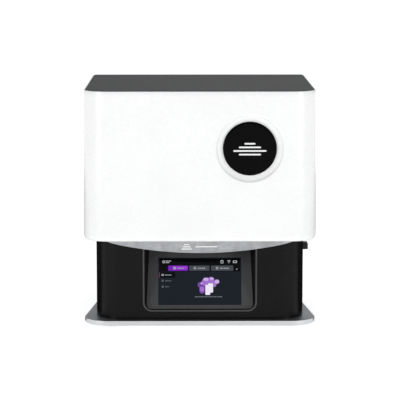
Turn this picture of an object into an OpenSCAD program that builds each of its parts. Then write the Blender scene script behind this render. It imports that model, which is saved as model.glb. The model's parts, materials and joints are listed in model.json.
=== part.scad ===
// Desktop resin printer: a hinged light-tight hood over a masked-LCD light engine, a vat and a Z axis.
// Millimetres. +Z up, the front faces -Y, +X is on the right as seen from the front.
// The origin is the centre of the footprint, on the surface the printer stands on.

/* [Hood] */
// Width of the hood at its lower edge, the widest piece
hood_w = 300; // [270:1:370]
// Depth of the hood at its lower edge
hood_d = 276; // [270:1:340]
// Height of the hood with its roof panel
hood_h = 193; // [190:0.5:240]
// Height of the hood's lower edge above the table
hood_z = 112; // [106:0.5:136]
// Wall of the moulded hood
hood_wall = 3; // [2:0.1:4]
// Front corner radius of the hood
hood_front_r = 32; // [20:1:40]
// Rear corner radius of the hood
hood_rear_r = 6; // [4:0.5:12]
// Draft of the hood's walls, in degrees
hood_draft = 0.5; // [0:0.1:1]
// Thickness of the dark roof panel
roof_t = 3; // [2:0.1:4]
// Thickness of the foam light seal inside the hood
seal_t = 3; // [2:0.1:5]
// How far the seal reaches in over the deck
seal_reach = 6; // [5:0.5:8]

/* [Badge] */
// Diameter of the round badge on the hood's front
badge_d = 68.6; // [50:0.1:80]
// Thickness of the badge
badge_t = 2.6; // [2:0.1:2.8]
// Diameter of the shallow dish around the badge
dish_d = 85.6; // [84:0.1:100]
// Depth of that dish
dish_deep = 3; // [2.9:0.1:4]
// Sideways place of the badge's centre
badge_x = 63.4; // [-60:0.1:70]
// Height of the badge's centre above the hood's lower edge
badge_up = 119.6; // [60:0.1:125]

/* [Base] */
// Width of the black base body
base_w = 269; // [246:1:320]
// How far the base's front is set back from the hood's front
base_front_in = 11; // [8:0.5:16]
// How far the base's rear is set in from the hood's rear
base_rear_in = 14; // [13:0.5:20]
// Wall of the base body
base_wall = 3; // [2:0.1:4]
// Front corner radius of the base body
base_front_r = 36; // [24:1:44]
// Rear corner radius of the base body
base_rear_r = 6; // [4:0.5:10]
// Width of the foot plate at the front
plate_w = 298.5; // [280:0.5:360]
// Thickness of the foot plate
plate_t = 6; // [4:0.5:8]
// Front corner radius of the foot plate
plate_r = 32; // [20:1:40]
// How far behind the front the plate's sides stop tapering in
plate_taper = 140; // [100:1:180]
// Margin of the foot plate around the base's sides at the rear
plate_margin = 2.5; // [1:0.5:6]
// Height of the rubber feet
foot_h = 3; // [2:0.5:6]
// Diameter of the rubber feet
foot_d = 22; // [14:1:30]
// Thickness of the deck plate
deck_t = 5; // [4:0.5:7]

/* [Front apron] */
// Thickness of the brushed apron
apron_t = 2; // [1.5:0.1:2.5]
// Drop of the apron below the hood's lower edge at its middle
apron_drop = 15.7; // [10:0.1:20]
// Radius of the apron's lower edge
apron_r = 520; // [420:5:700]

/* [Screen] */
// Width of the screen pocket
pocket_w = 147; // [128:0.5:160]
// Height of the pocket's lower edge above the foot plate
pocket_up = 10.3; // [8:0.1:16]
// Radius of the pocket's lower corners
pocket_r = 12; // [10:0.5:16]
// How far the pocket's rim stands proud of the base
rim_proud = 0.8; // [0.4:0.1:0.9]
// Tilt of the screen panel, in degrees
screen_tilt = 22; // [15:0.5:26]
// Width of the display
display_w = 107; // [90:0.5:112]
// Height of the display along the panel
display_h = 62; // [50:0.5:64]
// Panel below the display
display_up = 5.2; // [4:0.1:10]

/* [Light engine and vat] */
// Width of the build platform
platform_w = 144; // [120:1:150]
// Depth of the build platform
platform_d = 84; // [70:1:90]
// Thickness of the build platform
platform_t = 14; // [10:0.5:18]
// Free resin around the platform in the vat
vat_margin = 14; // [8:0.5:16]
// Wall of the vat
vat_wall = 6; // [4:0.5:8]
// Height of the vat's frame
vat_h = 28; // [24:0.5:32]
// Height of the reflector box under the LCD
light_box_h = 44; // [34:0.5:48]
// Height of the heat sink with its base
sink_h = 22; // [16:0.5:26]
// Middle of the vat and the light engine, front to back
vat_y = -18; // [-22:0.5:-16]

/* [Z axis] */
// Travel of the platform
z_travel = 110; // [80:1:115]
// Width of the column
column_w = 90; // [80:1:110]
// Depth of the column
column_d = 30; // [28:0.5:36]
// Height of the column above the deck
column_h = 168; // [160:0.5:172]
// Diameter of the lead screw
screw_d = 8; // [6:0.5:10]
// Radial running clearance of shafts and journals
running = 0.05; // [0.02:0.01:0.1]

/* [Ports] */
// Height of the USB port above the table
usb_z = 82; // [60:0.5:90]
// Place of the USB port, front to back
usb_y = 12; // [-20:0.5:20]
// How far the memory stick stands out of the base
stick_out = 13; // [8:0.5:20]

/* [Hidden] */
$fn = 72;
eps = 0.5; // overshoot of a cut past the face it opens
thin = 0.02; // thickness of the slices that the pocket's hull joins
gap = 0.3; // between pieces that move past each other
seat = 0.15; // clearance of a piece set in a recess, each side

// Colours
white_gloss = [0.95, 0.95, 0.95];
black_satin = [0.1, 0.1, 0.11];
black_gloss = [0.03, 0.03, 0.03];
roof_grey = [0.33, 0.33, 0.34];
bezel_grey = [0.25, 0.25, 0.26];
brushed = [0.72, 0.73, 0.74];
steel = [0.6, 0.6, 0.62];
brass = [0.78, 0.64, 0.34];
board_green = [0.08, 0.3, 0.18];
rubber_black = [0.06, 0.06, 0.06];
glass_dark = [0.1, 0.12, 0.16];

// Main levels and faces
hood_front_y = -hood_d / 2;
hood_rear_y = hood_d / 2;
base_front_y = hood_front_y + base_front_in;
base_rear_y = hood_rear_y - base_rear_in;
base_d = base_rear_y - base_front_y;
base_mid_y = (base_front_y + base_rear_y) / 2;
plate_top = foot_h + plate_t;
deck_low = hood_z + eps;
deck_top = deck_low + deck_t;
hood_inside_top = hood_z + hood_h - roof_t - hood_wall;
deck_gap = 2; // between the deck's edge and the hood's wall

// ---------- shapes used by several pieces ----------

// Rounded rectangle centred on the origin, with one radius at the front and one at the rear
module plan(w, d, front_r, rear_r) {
    translate([-w / 2 + front_r, -d / 2]) square([w - 2 * front_r, d / 2]);
    translate([-w / 2, -d / 2 + front_r]) square([w, d - front_r - rear_r]);
    translate([-w / 2 + rear_r, 0]) square([w - 2 * rear_r, d / 2]);
    for (side = [-1, 1]) {
        translate([side * (w / 2 - front_r), -d / 2 + front_r]) circle(front_r);
        translate([side * (w / 2 - rear_r), d / 2 - rear_r]) circle(rear_r);
    }
}

// Solid of the hood's plan, drawn in by cut at the lower edge and drafted up to height h
module drafted(cut, h) {
    lean = 2 * h * tan(hood_draft);
    w = hood_w - 2 * cut;
    d = hood_d - 2 * cut;
    front_r = hood_front_r - cut;
    rear_r = max(hood_rear_r - cut, 1);
    linear_extrude(h, scale = [(w - lean) / w, (d - lean) / d], slices = 1) plan(w, d, front_r, rear_r);
}

// Block centred in X and Y, standing on z = 0
module block(size) {
    translate([-size[0] / 2, -size[1] / 2, 0]) cube(size);
}

// Cylinder along Y from y = 0 towards +Y
module rod_y(r, h) {
    rotate([-90, 0, 0]) cylinder(r = r, h = h);
}

// Cylinder along X from x = 0 towards +X
module rod_x(r, h) {
    rotate([0, 90, 0]) cylinder(r = r, h = h);
}

// Cap screw pointing down, with the underside of its head at z = 0
module cap_screw(head_r, head_h, shank_r, shank_h) {
    difference() {
        cylinder(r = head_r, h = head_h);
        translate([0, 0, head_h / 2]) cylinder(r = head_r * 0.5, h = head_h, $fn = 6);
    }
    translate([0, 0, -shank_h]) cylinder(r = shank_r, h = shank_h);
}

// Axial fan frame on z = 0: square body, round throat and a hub held by four spokes
module fan_frame(side, depth, throat_r, hub_r) {
    spoke = [throat_r - hub_r + 2, 3, 2];
    difference() {
        block([side, side, depth]);
        translate([0, 0, -eps]) cylinder(r = throat_r, h = depth + 2 * eps);
    }
    cylinder(r = hub_r, h = spoke[2] + 0.5);
    for (turn = [45:90:315])
        rotate(turn) translate([hub_r - 1, -spoke[1] / 2, 0]) cube(spoke);
}

// Fan rotor on z = 0: hub cup and pitched blades
module fan_rotor(hub_r, tip_r, depth, blades) {
    pitch = 38; // of the blades, in degrees
    blade_t = 1.2;
    cylinder(r = hub_r, h = depth);
    for (k = [0:blades - 1])
        rotate(k * 360 / blades)
            translate([hub_r - 1, 0, depth / 2])
                rotate([pitch, 0, 0]) translate([0, -depth / 2, -blade_t / 2])
                    cube([tip_r - hub_r + 1, depth, blade_t]);
}

// Six-lobed hand knob on z = 0
module hand_knob(r, h, lobes) {
    flute_r = 3;
    flute_out = 1.2; // the flutes' centres lie this far outside the knob
    difference() {
        cylinder(r = r, h = h);
        for (k = [0:lobes - 1])
            rotate(k * 360 / lobes) translate([r + flute_out, 0, -eps])
                cylinder(r = flute_r, h = h + 2 * eps, $fn = 24);
    }
}

// ---------- foot plate, feet and base body ----------

plate_half = plate_w / 2;
plate_waist = base_w / 2 + plate_margin;
plate_waist_y = hood_front_y + plate_taper;
plate_rear_r = 6;

module plate_plan() {
    start_y = hood_front_y + plate_r;
    polygon([
        [-plate_half, start_y], [-plate_waist, plate_waist_y], [-plate_waist, hood_rear_y - plate_rear_r],
        [plate_waist, hood_rear_y - plate_rear_r], [plate_waist, plate_waist_y], [plate_half, start_y]
    ]);
    translate([-plate_half + plate_r, hood_front_y]) square([plate_w - 2 * plate_r, plate_r]);
    translate([-plate_waist + plate_rear_r, hood_rear_y - 2 * plate_rear_r])
        square([2 * (plate_waist - plate_rear_r), 2 * plate_rear_r]);
    for (side = [-1, 1]) {
        translate([side * (plate_half - plate_r), start_y]) circle(plate_r);
        translate([side * (plate_waist - plate_rear_r), hood_rear_y - plate_rear_r]) circle(plate_rear_r);
    }
}

// Posts inside the base's side walls take the deck screws above and the plate screws below
post_r = 5;
post_x = base_w / 2 - base_wall - post_r + 0.5;
post_ys = [base_front_y + base_front_r + 20, base_mid_y + 42, base_rear_y - base_wall - 14];
post_spots = [for (side = [-1, 1]) for (y = post_ys) [side * post_x, y]];
deck_screw = [4, 2.6, 2, 14]; // head radius, head height, shank radius, shank length
plate_screw = [4, 2.6, 2, 12];
screw_clear = 0.1;

intake_slots = 9;
intake_slot = [5, 60];
intake_pitch = 9;

module base_plate() {
    color(brushed) difference() {
        translate([0, 0, foot_h]) linear_extrude(plate_t) plate_plan();
        for (p = post_spots) translate([p[0], p[1], foot_h]) {
            translate([0, 0, -eps]) cylinder(r = plate_screw[2] + screw_clear, h = plate_t + 2 * eps);
            translate([0, 0, -eps])
                cylinder(r = plate_screw[0] + screw_clear, h = plate_screw[1] + seat + eps);
        }
        for (k = [0:intake_slots - 1])
            translate([(k - (intake_slots - 1) / 2) * intake_pitch, vat_y, foot_h - eps])
                block([intake_slot[0], intake_slot[1], plate_t + 2 * eps]);
    }
}

module plate_screws() {
    color(steel) for (p = post_spots)
        translate([p[0], p[1], foot_h + plate_screw[1] + seat]) mirror([0, 0, 1])
            cap_screw(plate_screw[0], plate_screw[1], plate_screw[2], plate_screw[3]);
}

foot_in = 24;
foot_x = plate_waist - foot_in;
foot_y = hood_d / 2 - foot_in;

module rubber_feet() {
    color(rubber_black) for (sx = [-1, 1]) for (sy = [-1, 1])
        translate([sx * foot_x, sy * foot_y, 0]) cylinder(r = foot_d / 2, h = foot_h);
}

pocket_low = plate_top + pocket_up;
shell_h = deck_low - plate_top;
lip_t = 3;
lip_in = 8;
lip_y = base_rear_y - base_wall - lip_t; // inner face of the lip
rear_open_w = base_w - 2 * (base_rear_r + 8);
rear_open_low = plate_top + 6;
rear_open_h = shell_h - 12;
usb_slot = [16, 12]; // opening for the port in the side wall, front to back and up

module u_outline(half, low, top, r) {
    translate([-half + r, low]) square([2 * (half - r), top - low]);
    translate([-half, low + r]) square([2 * half, top - low - r]);
    for (side = [-1, 1]) translate([side * (half - r), low + r]) circle(r);
}

module base_shell() {
    color(black_satin) difference() {
        union() {
            difference() {
                translate([0, base_mid_y, plate_top])
                    linear_extrude(shell_h) plan(base_w, base_d, base_front_r, base_rear_r);
                translate([0, base_mid_y, plate_top - eps]) linear_extrude(shell_h + 2 * eps)
                    plan(base_w - 2 * base_wall, base_d - 2 * base_wall,
                         base_front_r - base_wall, base_rear_r - base_wall);
            }
            // Lip that the rear panel seats on
            translate([-rear_open_w / 2 - 4, lip_y, rear_open_low - 4])
                cube([rear_open_w + 8, lip_t + eps, rear_open_h + 8]);
            for (p = post_spots) translate([p[0], p[1], plate_top]) cylinder(r = post_r, h = shell_h);
        }
        // U-shaped opening for the screen bezel, open at the top
        translate([0, base_front_y + 12, 0]) rotate([90, 0, 0]) linear_extrude(12 + eps)
            u_outline(pocket_w / 2 + seat, pocket_low - seat, deck_low + eps, pocket_r + seat);
        translate([-rear_open_w / 2 - seat, base_rear_y - base_wall, rear_open_low - seat])
            cube([rear_open_w + 2 * seat, base_wall + eps, rear_open_h + 2 * seat]);
        translate([-rear_open_w / 2 + lip_in, lip_y - eps, rear_open_low + lip_in])
            cube([rear_open_w - 2 * lip_in, lip_t + 2 * eps, rear_open_h - 2 * lip_in]);
        for (p = post_spots) {
            translate([p[0], p[1], deck_low - deck_screw[3]])
                cylinder(r = deck_screw[2] + screw_clear, h = deck_screw[3] + eps);
            translate([p[0], p[1], plate_top - eps])
                cylinder(r = plate_screw[2] + screw_clear, h = plate_screw[3] + eps);
        }
        for (p = rear_screw_spots) translate([p[0], lip_y - eps, p[1]])
            rod_y(rear_screw[2] + screw_clear, lip_t + 2 * eps);
        translate([base_w / 2 - base_wall - eps, usb_y - usb_slot[0] / 2, usb_z - usb_slot[1] / 2])
            cube([base_wall + 2 * eps, usb_slot[0], usb_slot[1]]);
    }
}

// ---------- rear panel with its ports ----------

rear_screw = [2.8, 1.8, 1.5, 5];
rear_screw_in = 4;
rear_screw_rise = rear_open_h - 2 * rear_screw_in;
rear_screw_spots = [for (x = [-1, 0, 1]) for (up = [0, 1])
    [x * (rear_open_w / 2 - rear_screw_in), rear_open_low + rear_screw_in + up * rear_screw_rise]];
panel_face_y = base_rear_y;
panel_in_y = base_rear_y - base_wall;
port_z = plate_top + 50; // height of the inlet and the rocker
inlet = [28, 20]; // face of the mains inlet, width and height
inlet_x = 78;
rocker_hole = [22, 16];
rocker_x = 42;
ethernet = [16, 14, 21]; // width, height, depth of the network socket
ethernet_x = -32;
ethernet_z = rear_open_low + lip_in + 1;
exhaust_side = 60;
exhaust_x = -74;
exhaust_z = plate_top + 46;
exhaust_depth = 15;
exhaust_throat_r = exhaust_side / 2 - 2.5;
exhaust_hub_r = 13;
vent_slots = 9;
vent = [6, 3]; // pitch and height of the exhaust slots
cooling_slots = 8;
cooling = [8, 3.5, 20]; // pitch, width and height of the cooling slots

module rear_panel() {
    through = base_wall + 2 * eps;
    color(black_satin) difference() {
        translate([-rear_open_w / 2, panel_in_y, rear_open_low])
            cube([rear_open_w, base_wall, rear_open_h]);
        for (p = rear_screw_spots) translate([p[0], panel_in_y - eps, p[1]])
            rod_y(rear_screw[2] + screw_clear, through);
        translate([inlet_x - inlet[0] / 2 - seat, panel_in_y - eps, port_z - inlet[1] / 2 - seat])
            cube([inlet[0] + 2 * seat, through, inlet[1] + 2 * seat]);
        translate([rocker_x - rocker_hole[0] / 2, panel_in_y - eps, port_z - rocker_hole[1] / 2])
            cube([rocker_hole[0], through, rocker_hole[1]]);
        translate([ethernet_x - ethernet[0] / 2 - seat, panel_in_y - eps, ethernet_z - seat])
            cube([ethernet[0] + 2 * seat, through, ethernet[1] + 2 * seat]);
        // Exhaust slots, cut to the fan's round throat
        intersection() {
            translate([exhaust_x, panel_in_y - eps, exhaust_z]) rod_y(exhaust_side / 2 - 3, through);
            for (k = [0:vent_slots - 1])
                translate([exhaust_x - exhaust_side / 2, panel_in_y - eps,
                           exhaust_z + (k - (vent_slots - 1) / 2) * vent[0] - vent[1] / 2])
                    cube([exhaust_side, through, vent[1]]);
        }
        // Cooling slots beside the power supply
        for (k = [0:cooling_slots - 1])
            translate([inlet_x - 30 + k * cooling[0], panel_in_y - eps, plate_top + 12])
                cube([cooling[1], through, cooling[2]]);
    }
}

module rear_panel_screws() {
    color(steel) for (p = rear_screw_spots)
        translate([p[0], panel_face_y - base_wall + seat, p[1]]) rotate([-90, 0, 0])
            cap_screw(rear_screw[2], rear_screw[1], rear_screw[2] - 1.3, rear_screw[3] - 2);
}

inlet_depth = 22;
inlet_wall = 2;
inlet_flange = [3, 2]; // reach and thickness
inlet_cavity = 17; // depth
prongs = [[-7, -2], [0, 3], [7, -2]];
prong = [2, 11, 4];

module power_inlet() {
    color(black_satin) translate([inlet_x, panel_face_y + 1, port_z]) difference() {
        union() {
            translate([-inlet[0] / 2, -inlet_depth, -inlet[1] / 2])
                cube([inlet[0], inlet_depth, inlet[1]]);
            translate([-inlet[0] / 2 - inlet_flange[0], -1, -inlet[1] / 2 - inlet_flange[0]])
                cube([inlet[0] + 2 * inlet_flange[0], inlet_flange[1], inlet[1] + 2 * inlet_flange[0]]);
        }
        translate([-inlet[0] / 2 + inlet_wall, 1 - inlet_cavity, -inlet[1] / 2 + inlet_wall])
            cube([inlet[0] - 2 * inlet_wall, inlet_cavity + eps, inlet[1] - 2 * inlet_wall]);
    }
    color(steel) for (p = prongs)
        translate([inlet_x + p[0] - prong[0] / 2, panel_face_y - 15, port_z + p[1] - prong[2] / 2])
            cube(prong);
}

// The rocker turns on its own short pin ends in a frame that snaps into the panel
rocker_tilt = 8;
rocker_r = 14.5; // of the hollow in its face

module power_rocker() {
    color(black_gloss) translate([rocker_x, panel_face_y - 2, port_z]) rotate([rocker_tilt, 0, 0])
        difference() {
            translate([-rocker_hole[0] / 2 + 1.5, -6, -rocker_hole[1] / 2 + 1.6])
                cube([rocker_hole[0] - 3, 9, rocker_hole[1] - 3.2]);
            translate([-rocker_hole[0] / 2, rocker_r + 2, 0]) rod_x(rocker_r, rocker_hole[0]);
        }
}

module ethernet_socket() {
    color(steel) translate([ethernet_x, panel_face_y + 0.5, ethernet_z]) difference() {
        translate([-ethernet[0] / 2, -ethernet[2], 0]) cube([ethernet[0], ethernet[2], ethernet[1]]);
        translate([-ethernet[0] / 2 + 2, -12, 2.5]) cube([ethernet[0] - 4, 12 + eps, ethernet[1] - 4.5]);
    }
}

module exhaust_fan_frame() {
    color(black_satin) translate([exhaust_x, panel_in_y - lip_t - exhaust_depth, exhaust_z])
        rotate([-90, 0, 0]) fan_frame(exhaust_side, exhaust_depth, exhaust_throat_r, exhaust_hub_r);
}

module exhaust_fan_rotor() {
    color(rubber_black) translate([exhaust_x, panel_in_y - lip_t - exhaust_depth + 3, exhaust_z])
        rotate([-90, 0, 0]) fan_rotor(exhaust_hub_r, exhaust_throat_r - 1.3, exhaust_depth - 5, 7);
}

// ---------- deck, apron and hinges ----------

deck_w = hood_w - 2 * (hood_wall + deck_gap);
deck_d = hood_d - 2 * (hood_wall + deck_gap);
lcd_w = platform_w + 16;
lcd_d = platform_d + 12;
lcd_step = 5; // ledge in the deck that the LCD's glass rests on
glass_t = 4;
glass_sunk = 2;
hinge_x = 90;
hinge_l = 40;
knuckle_l = 10;
knuckle_r = 5;
pin_r = 2;
leaf_t = 2;
hinge_y = base_rear_y + 7.4;
hinge_z = hood_z - 7;
leaf_y = hood_rear_y - hood_wall - 0.4 - leaf_t;
notch_w = hinge_l + 8;
column_front_y = vat_y + 102;
column_rear_y = column_front_y + column_d;
screw_y = column_front_y + 12;
vat_in_w = platform_w + 2 * vat_margin;
vat_in_d = platform_d + 2 * vat_margin;
vat_w = vat_in_w + 2 * vat_wall;
vat_d = vat_in_d + 2 * vat_wall;
ear_w = 26;
knob_x = vat_w / 2 + ear_w / 2;
knob_shank_r = 3;
knob_shank_deep = 4;
column_bolt = [3.6, 3, 2, 4.5];
column_bolt_spots = [for (sx = [-1, 1]) for (sy = [0, 1])
    [sx * (column_w / 2 + 6), column_front_y + 7 + sy * 16]];

module deck_plate() {
    color(brushed) difference() {
        translate([0, 0, deck_low])
            linear_extrude(deck_t) plan(deck_w, deck_d, hood_front_r - hood_wall - deck_gap, 3);
        translate([0, vat_y, deck_top - glass_sunk])
            block([lcd_w + 2 * seat, lcd_d + 2 * seat, glass_sunk + eps]);
        translate([0, vat_y, deck_low - eps])
            block([lcd_w - 2 * lcd_step, lcd_d - 2 * lcd_step, deck_t + 2 * eps]);
        for (side = [-1, 1]) {
            translate([side * hinge_x, deck_d / 2, deck_low - eps]) block([notch_w, 12, deck_t + 2 * eps]);
            translate([side * knob_x, vat_y, deck_top - knob_shank_deep])
                cylinder(r = knob_shank_r + gap, h = knob_shank_deep + eps);
        }
        translate([0, screw_y, deck_low - eps]) cylinder(r = coupler_r + 1, h = deck_t + 2 * eps);
        for (p = post_spots) translate([p[0], p[1], deck_low - eps]) {
            cylinder(r = deck_screw[2] + screw_clear, h = deck_t + 2 * eps);
            translate([0, 0, eps + deck_t - deck_screw[1] - seat])
                cylinder(r = deck_screw[0] + screw_clear, h = deck_screw[1] + seat + eps);
        }
        for (p = column_bolt_spots) translate([p[0], p[1], deck_low - eps])
            cylinder(r = column_bolt[2] + screw_clear, h = deck_t + 2 * eps);
    }
}

module deck_screws() {
    color(steel) for (p = post_spots)
        translate([p[0], p[1], deck_top - deck_screw[1] - seat])
            cap_screw(deck_screw[0], deck_screw[1], deck_screw[2], deck_screw[3] - 3);
}

apron_gap = 1; // leaves room for the pocket's raised rim
apron_low = hood_z - apron_drop;

module front_apron() {
    outer = apron_gap + apron_t;
    color(brushed) intersection() {
        difference() {
            translate([0, base_mid_y, apron_low]) linear_extrude(deck_low - apron_low)
                plan(base_w + 2 * outer, base_d + 2 * outer, base_front_r + outer, base_rear_r);
            translate([0, base_mid_y, apron_low - eps]) linear_extrude(deck_low - apron_low + 2 * eps)
                plan(base_w + 2 * apron_gap, base_d + 2 * apron_gap, base_front_r + apron_gap, base_rear_r);
        }
        translate([0, base_front_y - 20, apron_low + apron_r]) rod_y(apron_r, 20 + base_front_r, $fn = 360);
    }
}

module knuckles(starts, l) {
    for (x = starts) translate([x, hinge_y, hinge_z]) difference() {
        rod_x(knuckle_r, l);
        translate([-eps, 0, 0]) rod_x(pin_r + running, l + 2 * eps);
    }
}

module hinge_brackets() {
    color(steel) for (side = [-1, 1]) {
        low_x = side * hinge_x - hinge_l / 2;
        difference() {
            union() {
                translate([low_x, base_rear_y, hinge_z - 22]) cube([hinge_l, leaf_t, 22]);
                for (x = [low_x, low_x + hinge_l - knuckle_l])
                    translate([x, base_rear_y, hinge_z - 3.8]) cube([knuckle_l, hinge_y - base_rear_y, 3]);
            }
            translate([low_x - eps, hinge_y, hinge_z]) rod_x(pin_r + 1, hinge_l + 2 * eps);
        }
        knuckles([low_x, low_x + hinge_l - knuckle_l], knuckle_l);
    }
}

module hinge_pins() {
    color(steel) for (side = [-1, 1])
        translate([side * hinge_x - hinge_l / 2 - 1, hinge_y, hinge_z]) rod_x(pin_r, hinge_l + 2);
}

module hinge_leaves() {
    mid_l = hinge_l - 2 * knuckle_l - 2 * gap;
    color(steel) for (side = [-1, 1]) {
        low_x = side * hinge_x - mid_l / 2;
        difference() {
            union() {
                translate([low_x, leaf_y, hinge_z]) cube([mid_l, leaf_t, hood_z - hinge_z + 3]);
                translate([side * hinge_x - hinge_l / 2, leaf_y, hood_z + 1]) cube([hinge_l, leaf_t, 28]);
            }
            translate([low_x - eps, hinge_y, hinge_z]) rod_x(pin_r + 1, mid_l + 2 * eps);
        }
        knuckles([low_x], mid_l);
    }
}

// ---------- screen pocket ----------

panel_in = 2; // the panel's lower edge behind the base's front
panel_t = 3;
panel_z = pocket_low + 3.1;
rim_w = 2;
panel_low_half = pocket_w / 2 - 4.8;
panel_top_half = pocket_w / 2 - 8.4;
panel_l = (deck_low + eps - panel_z) / cos(screen_tilt);
panel_r = 6; // of the panel's lower corners
glass_front = 0.3; // the glass lies this far under the panel's face

// Places children on the tilted panel: x across, z up the panel, y into the base
module on_panel() {
    translate([0, base_front_y + panel_in, panel_z]) rotate([-screen_tilt, 0, 0]) children();
}

module screen_bezel() {
    color(bezel_grey) difference() {
        intersection() {
            translate([0, base_front_y + 60, 0]) rotate([90, 0, 0]) linear_extrude(60 + rim_proud)
                u_outline(pocket_w / 2, pocket_low, deck_low, pocket_r);
            on_panel() translate([-pocket_w / 2 - 1, panel_t - 120, -20])
                cube([pocket_w + 2, 120, panel_l + 60]);
        }
        hull() {
            translate([0, base_front_y - rim_proud - eps, 0]) rotate([90, 0, 0]) linear_extrude(thin)
                u_outline(pocket_w / 2 - rim_w, pocket_low + rim_w, deck_low + eps, pocket_r - rim_w,
                          $fn = 32);
            on_panel() rotate([90, 0, 0]) linear_extrude(thin) {
                for (side = [-1, 1]) translate([side * (panel_low_half - panel_r), panel_r])
                    circle(panel_r, $fn = 32);
                translate([-panel_top_half, panel_l - 1]) square([2 * panel_top_half, 1]);
            }
        }
        on_panel() translate([-display_w / 2 - seat, -eps, display_up - seat])
            cube([display_w + 2 * seat, panel_t + 2 * eps, display_h + 2 * seat]);
    }
}

module touch_glass() {
    color(glass_dark) on_panel()
        translate([-display_w / 2, glass_front, display_up])
            cube([display_w, panel_t - glass_front, display_h]);
}

module display_module() {
    color(black_satin) on_panel()
        translate([-display_w / 2 - 5, panel_t, display_up - 3]) cube([display_w + 10, 5, display_h + 6]);
}

// ---------- light engine ----------

lcd_t = 2.5;
box_wall = 3;
box_w = lcd_w + 24;
box_d = lcd_d + 20;
box_low = deck_low - lcd_t - light_box_h;
lens_t = 3;
led_t = 2;
led_low = box_low - lens_t - led_t;
sink_low = led_low - sink_h;
fins = 15;
fan_side = 80;
fan_depth = 20;
fan_throat_r = fan_side / 2 - 4;
fan_hub_r = 16;

module lcd_glass() {
    color(glass_dark) translate([0, vat_y, deck_top - glass_sunk]) block([lcd_w, lcd_d, glass_t]);
}

module lcd_panel() {
    color(black_gloss) translate([0, vat_y, deck_low - lcd_t]) block([lcd_w + 8, lcd_d + 8, lcd_t]);
}

module light_box() {
    color(brushed) translate([0, vat_y, box_low]) difference() {
        block([box_w, box_d, light_box_h]);
        translate([0, 0, -eps]) block([box_w - 2 * box_wall, box_d - 2 * box_wall, light_box_h + 2 * eps]);
    }
}

module lens_plate() {
    color([0.85, 0.88, 0.9]) translate([0, vat_y, box_low - lens_t]) block([box_w, box_d, lens_t]);
}

module led_board() {
    color(white_gloss) translate([0, vat_y, led_low]) block([box_w, box_d, led_t]);
}

module heat_sink() {
    base_t = 4;
    fin_t = 2;
    pitch = (box_w - fin_t) / (fins - 1);
    color(brushed) translate([0, vat_y, sink_low]) {
        translate([0, 0, sink_h - base_t]) block([box_w, box_d, base_t]);
        for (k = [0:fins - 1])
            translate([-box_w / 2 + k * pitch, -box_d / 2, 0]) cube([fin_t, box_d, sink_h - base_t + eps]);
    }
}

module sink_fan_frame() {
    color(black_satin) translate([0, vat_y, sink_low - fan_depth])
        fan_frame(fan_side, fan_depth, fan_throat_r, fan_hub_r);
}

module sink_fan_rotor() {
    color(rubber_black) translate([0, vat_y, sink_low - fan_depth + 2 + gap + 0.7])
        fan_rotor(fan_hub_r, fan_throat_r - 1.3, fan_depth - 5, 7);
}

// ---------- electronics ----------

module main_board() {
    board = [96, 62, 1.6];
    board_x = -70;
    board_y = base_rear_y - base_wall - lip_t - 1 - board[1] / 2;
    standoff = 12;
    color(board_green) translate([board_x, board_y, plate_top + standoff]) block(board);
    color(steel) for (sx = [-1, 1]) for (sy = [-1, 1])
        translate([board_x + sx * (board[0] / 2 - 5), board_y + sy * (board[1] / 2 - 5), plate_top])
            cylinder(r = 3, h = standoff);
    color(black_satin) {
        translate([board_x - 10, board_y + 4, plate_top + standoff + board[2]]) block([18, 18, 2]);
        translate([board_x + 26, board_y - 14, plate_top + standoff + board[2]]) block([24, 8, 9]);
        translate([board_x - 34, board_y - 20, plate_top + standoff + board[2]]) block([16, 8, 9]);
    }
}

module power_supply() {
    color(steel) translate([68, base_rear_y - base_wall - lip_t - 6 - 36, plate_top]) difference() {
        block([100, 60, 38]);
        for (k = [0:8]) translate([(k - 4) * 9, 0, 38 - 2]) block([4, 40, 2 + eps]);
    }
}

usb_shell = [18, 14, 7]; // depth in X, width in Y, height
usb_plug = [12, 12, 4.5]; // length, width and height of the stick's plug
stick_body = [18, 8.8]; // width in Y and height

module usb_socket() {
    color(steel) translate([base_w / 2 - base_wall - usb_shell[0], usb_y, usb_z]) difference() {
        translate([0, -usb_shell[1] / 2, -usb_shell[2] / 2]) cube(usb_shell);
        translate([usb_shell[0] - usb_plug[0] - 1, -usb_plug[1] / 2 - gap, -usb_plug[2] / 2 - gap])
            cube([usb_plug[0] + 2, usb_plug[1] + 2 * gap, usb_plug[2] + 2 * gap]);
    }
}

module usb_stick() {
    face_x = base_w / 2 + gap;
    color(steel) translate([face_x - usb_plug[0], usb_y - usb_plug[1] / 2, usb_z - usb_plug[2] / 2])
        cube([usb_plug[0] + eps, usb_plug[1], usb_plug[2]]);
    color(black_satin) translate([face_x, usb_y - stick_body[0] / 2, usb_z - stick_body[1] / 2])
        cube([stick_out - gap, stick_body[0], stick_body[1]]);
}

// ---------- Z axis, fixed pieces ----------

column_wall = 8;
column_top = deck_top + column_h;
rail = [9, 6]; // width and height of a guide rail
rail_x = column_w / 2 - column_wall / 2;
flange_t = 4;
flange_w = 12; // of the column's foot, each side

module z_column() {
    color(black_satin) difference() {
        union() {
            translate([-column_w / 2, column_front_y, deck_top]) cube([column_w, column_d, column_h]);
            translate([-column_w / 2 - flange_w, column_front_y, deck_top])
                cube([column_w + 2 * flange_w, column_d, flange_t]);
        }
        translate([-column_w / 2 + column_wall, column_front_y - eps, deck_top - eps])
            cube([column_w - 2 * column_wall, column_d - column_wall + eps, column_h + 2 * eps]);
        for (p = column_bolt_spots) translate([p[0], p[1], deck_top - eps])
            cylinder(r = column_bolt[2] + screw_clear, h = flange_t + 2 * eps);
    }
}

module column_screws() {
    color(steel) for (p = column_bolt_spots) translate([p[0], p[1], deck_top + flange_t])
        cap_screw(column_bolt[0], column_bolt[1], column_bolt[2], flange_t + column_bolt[3]);
}

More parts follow.
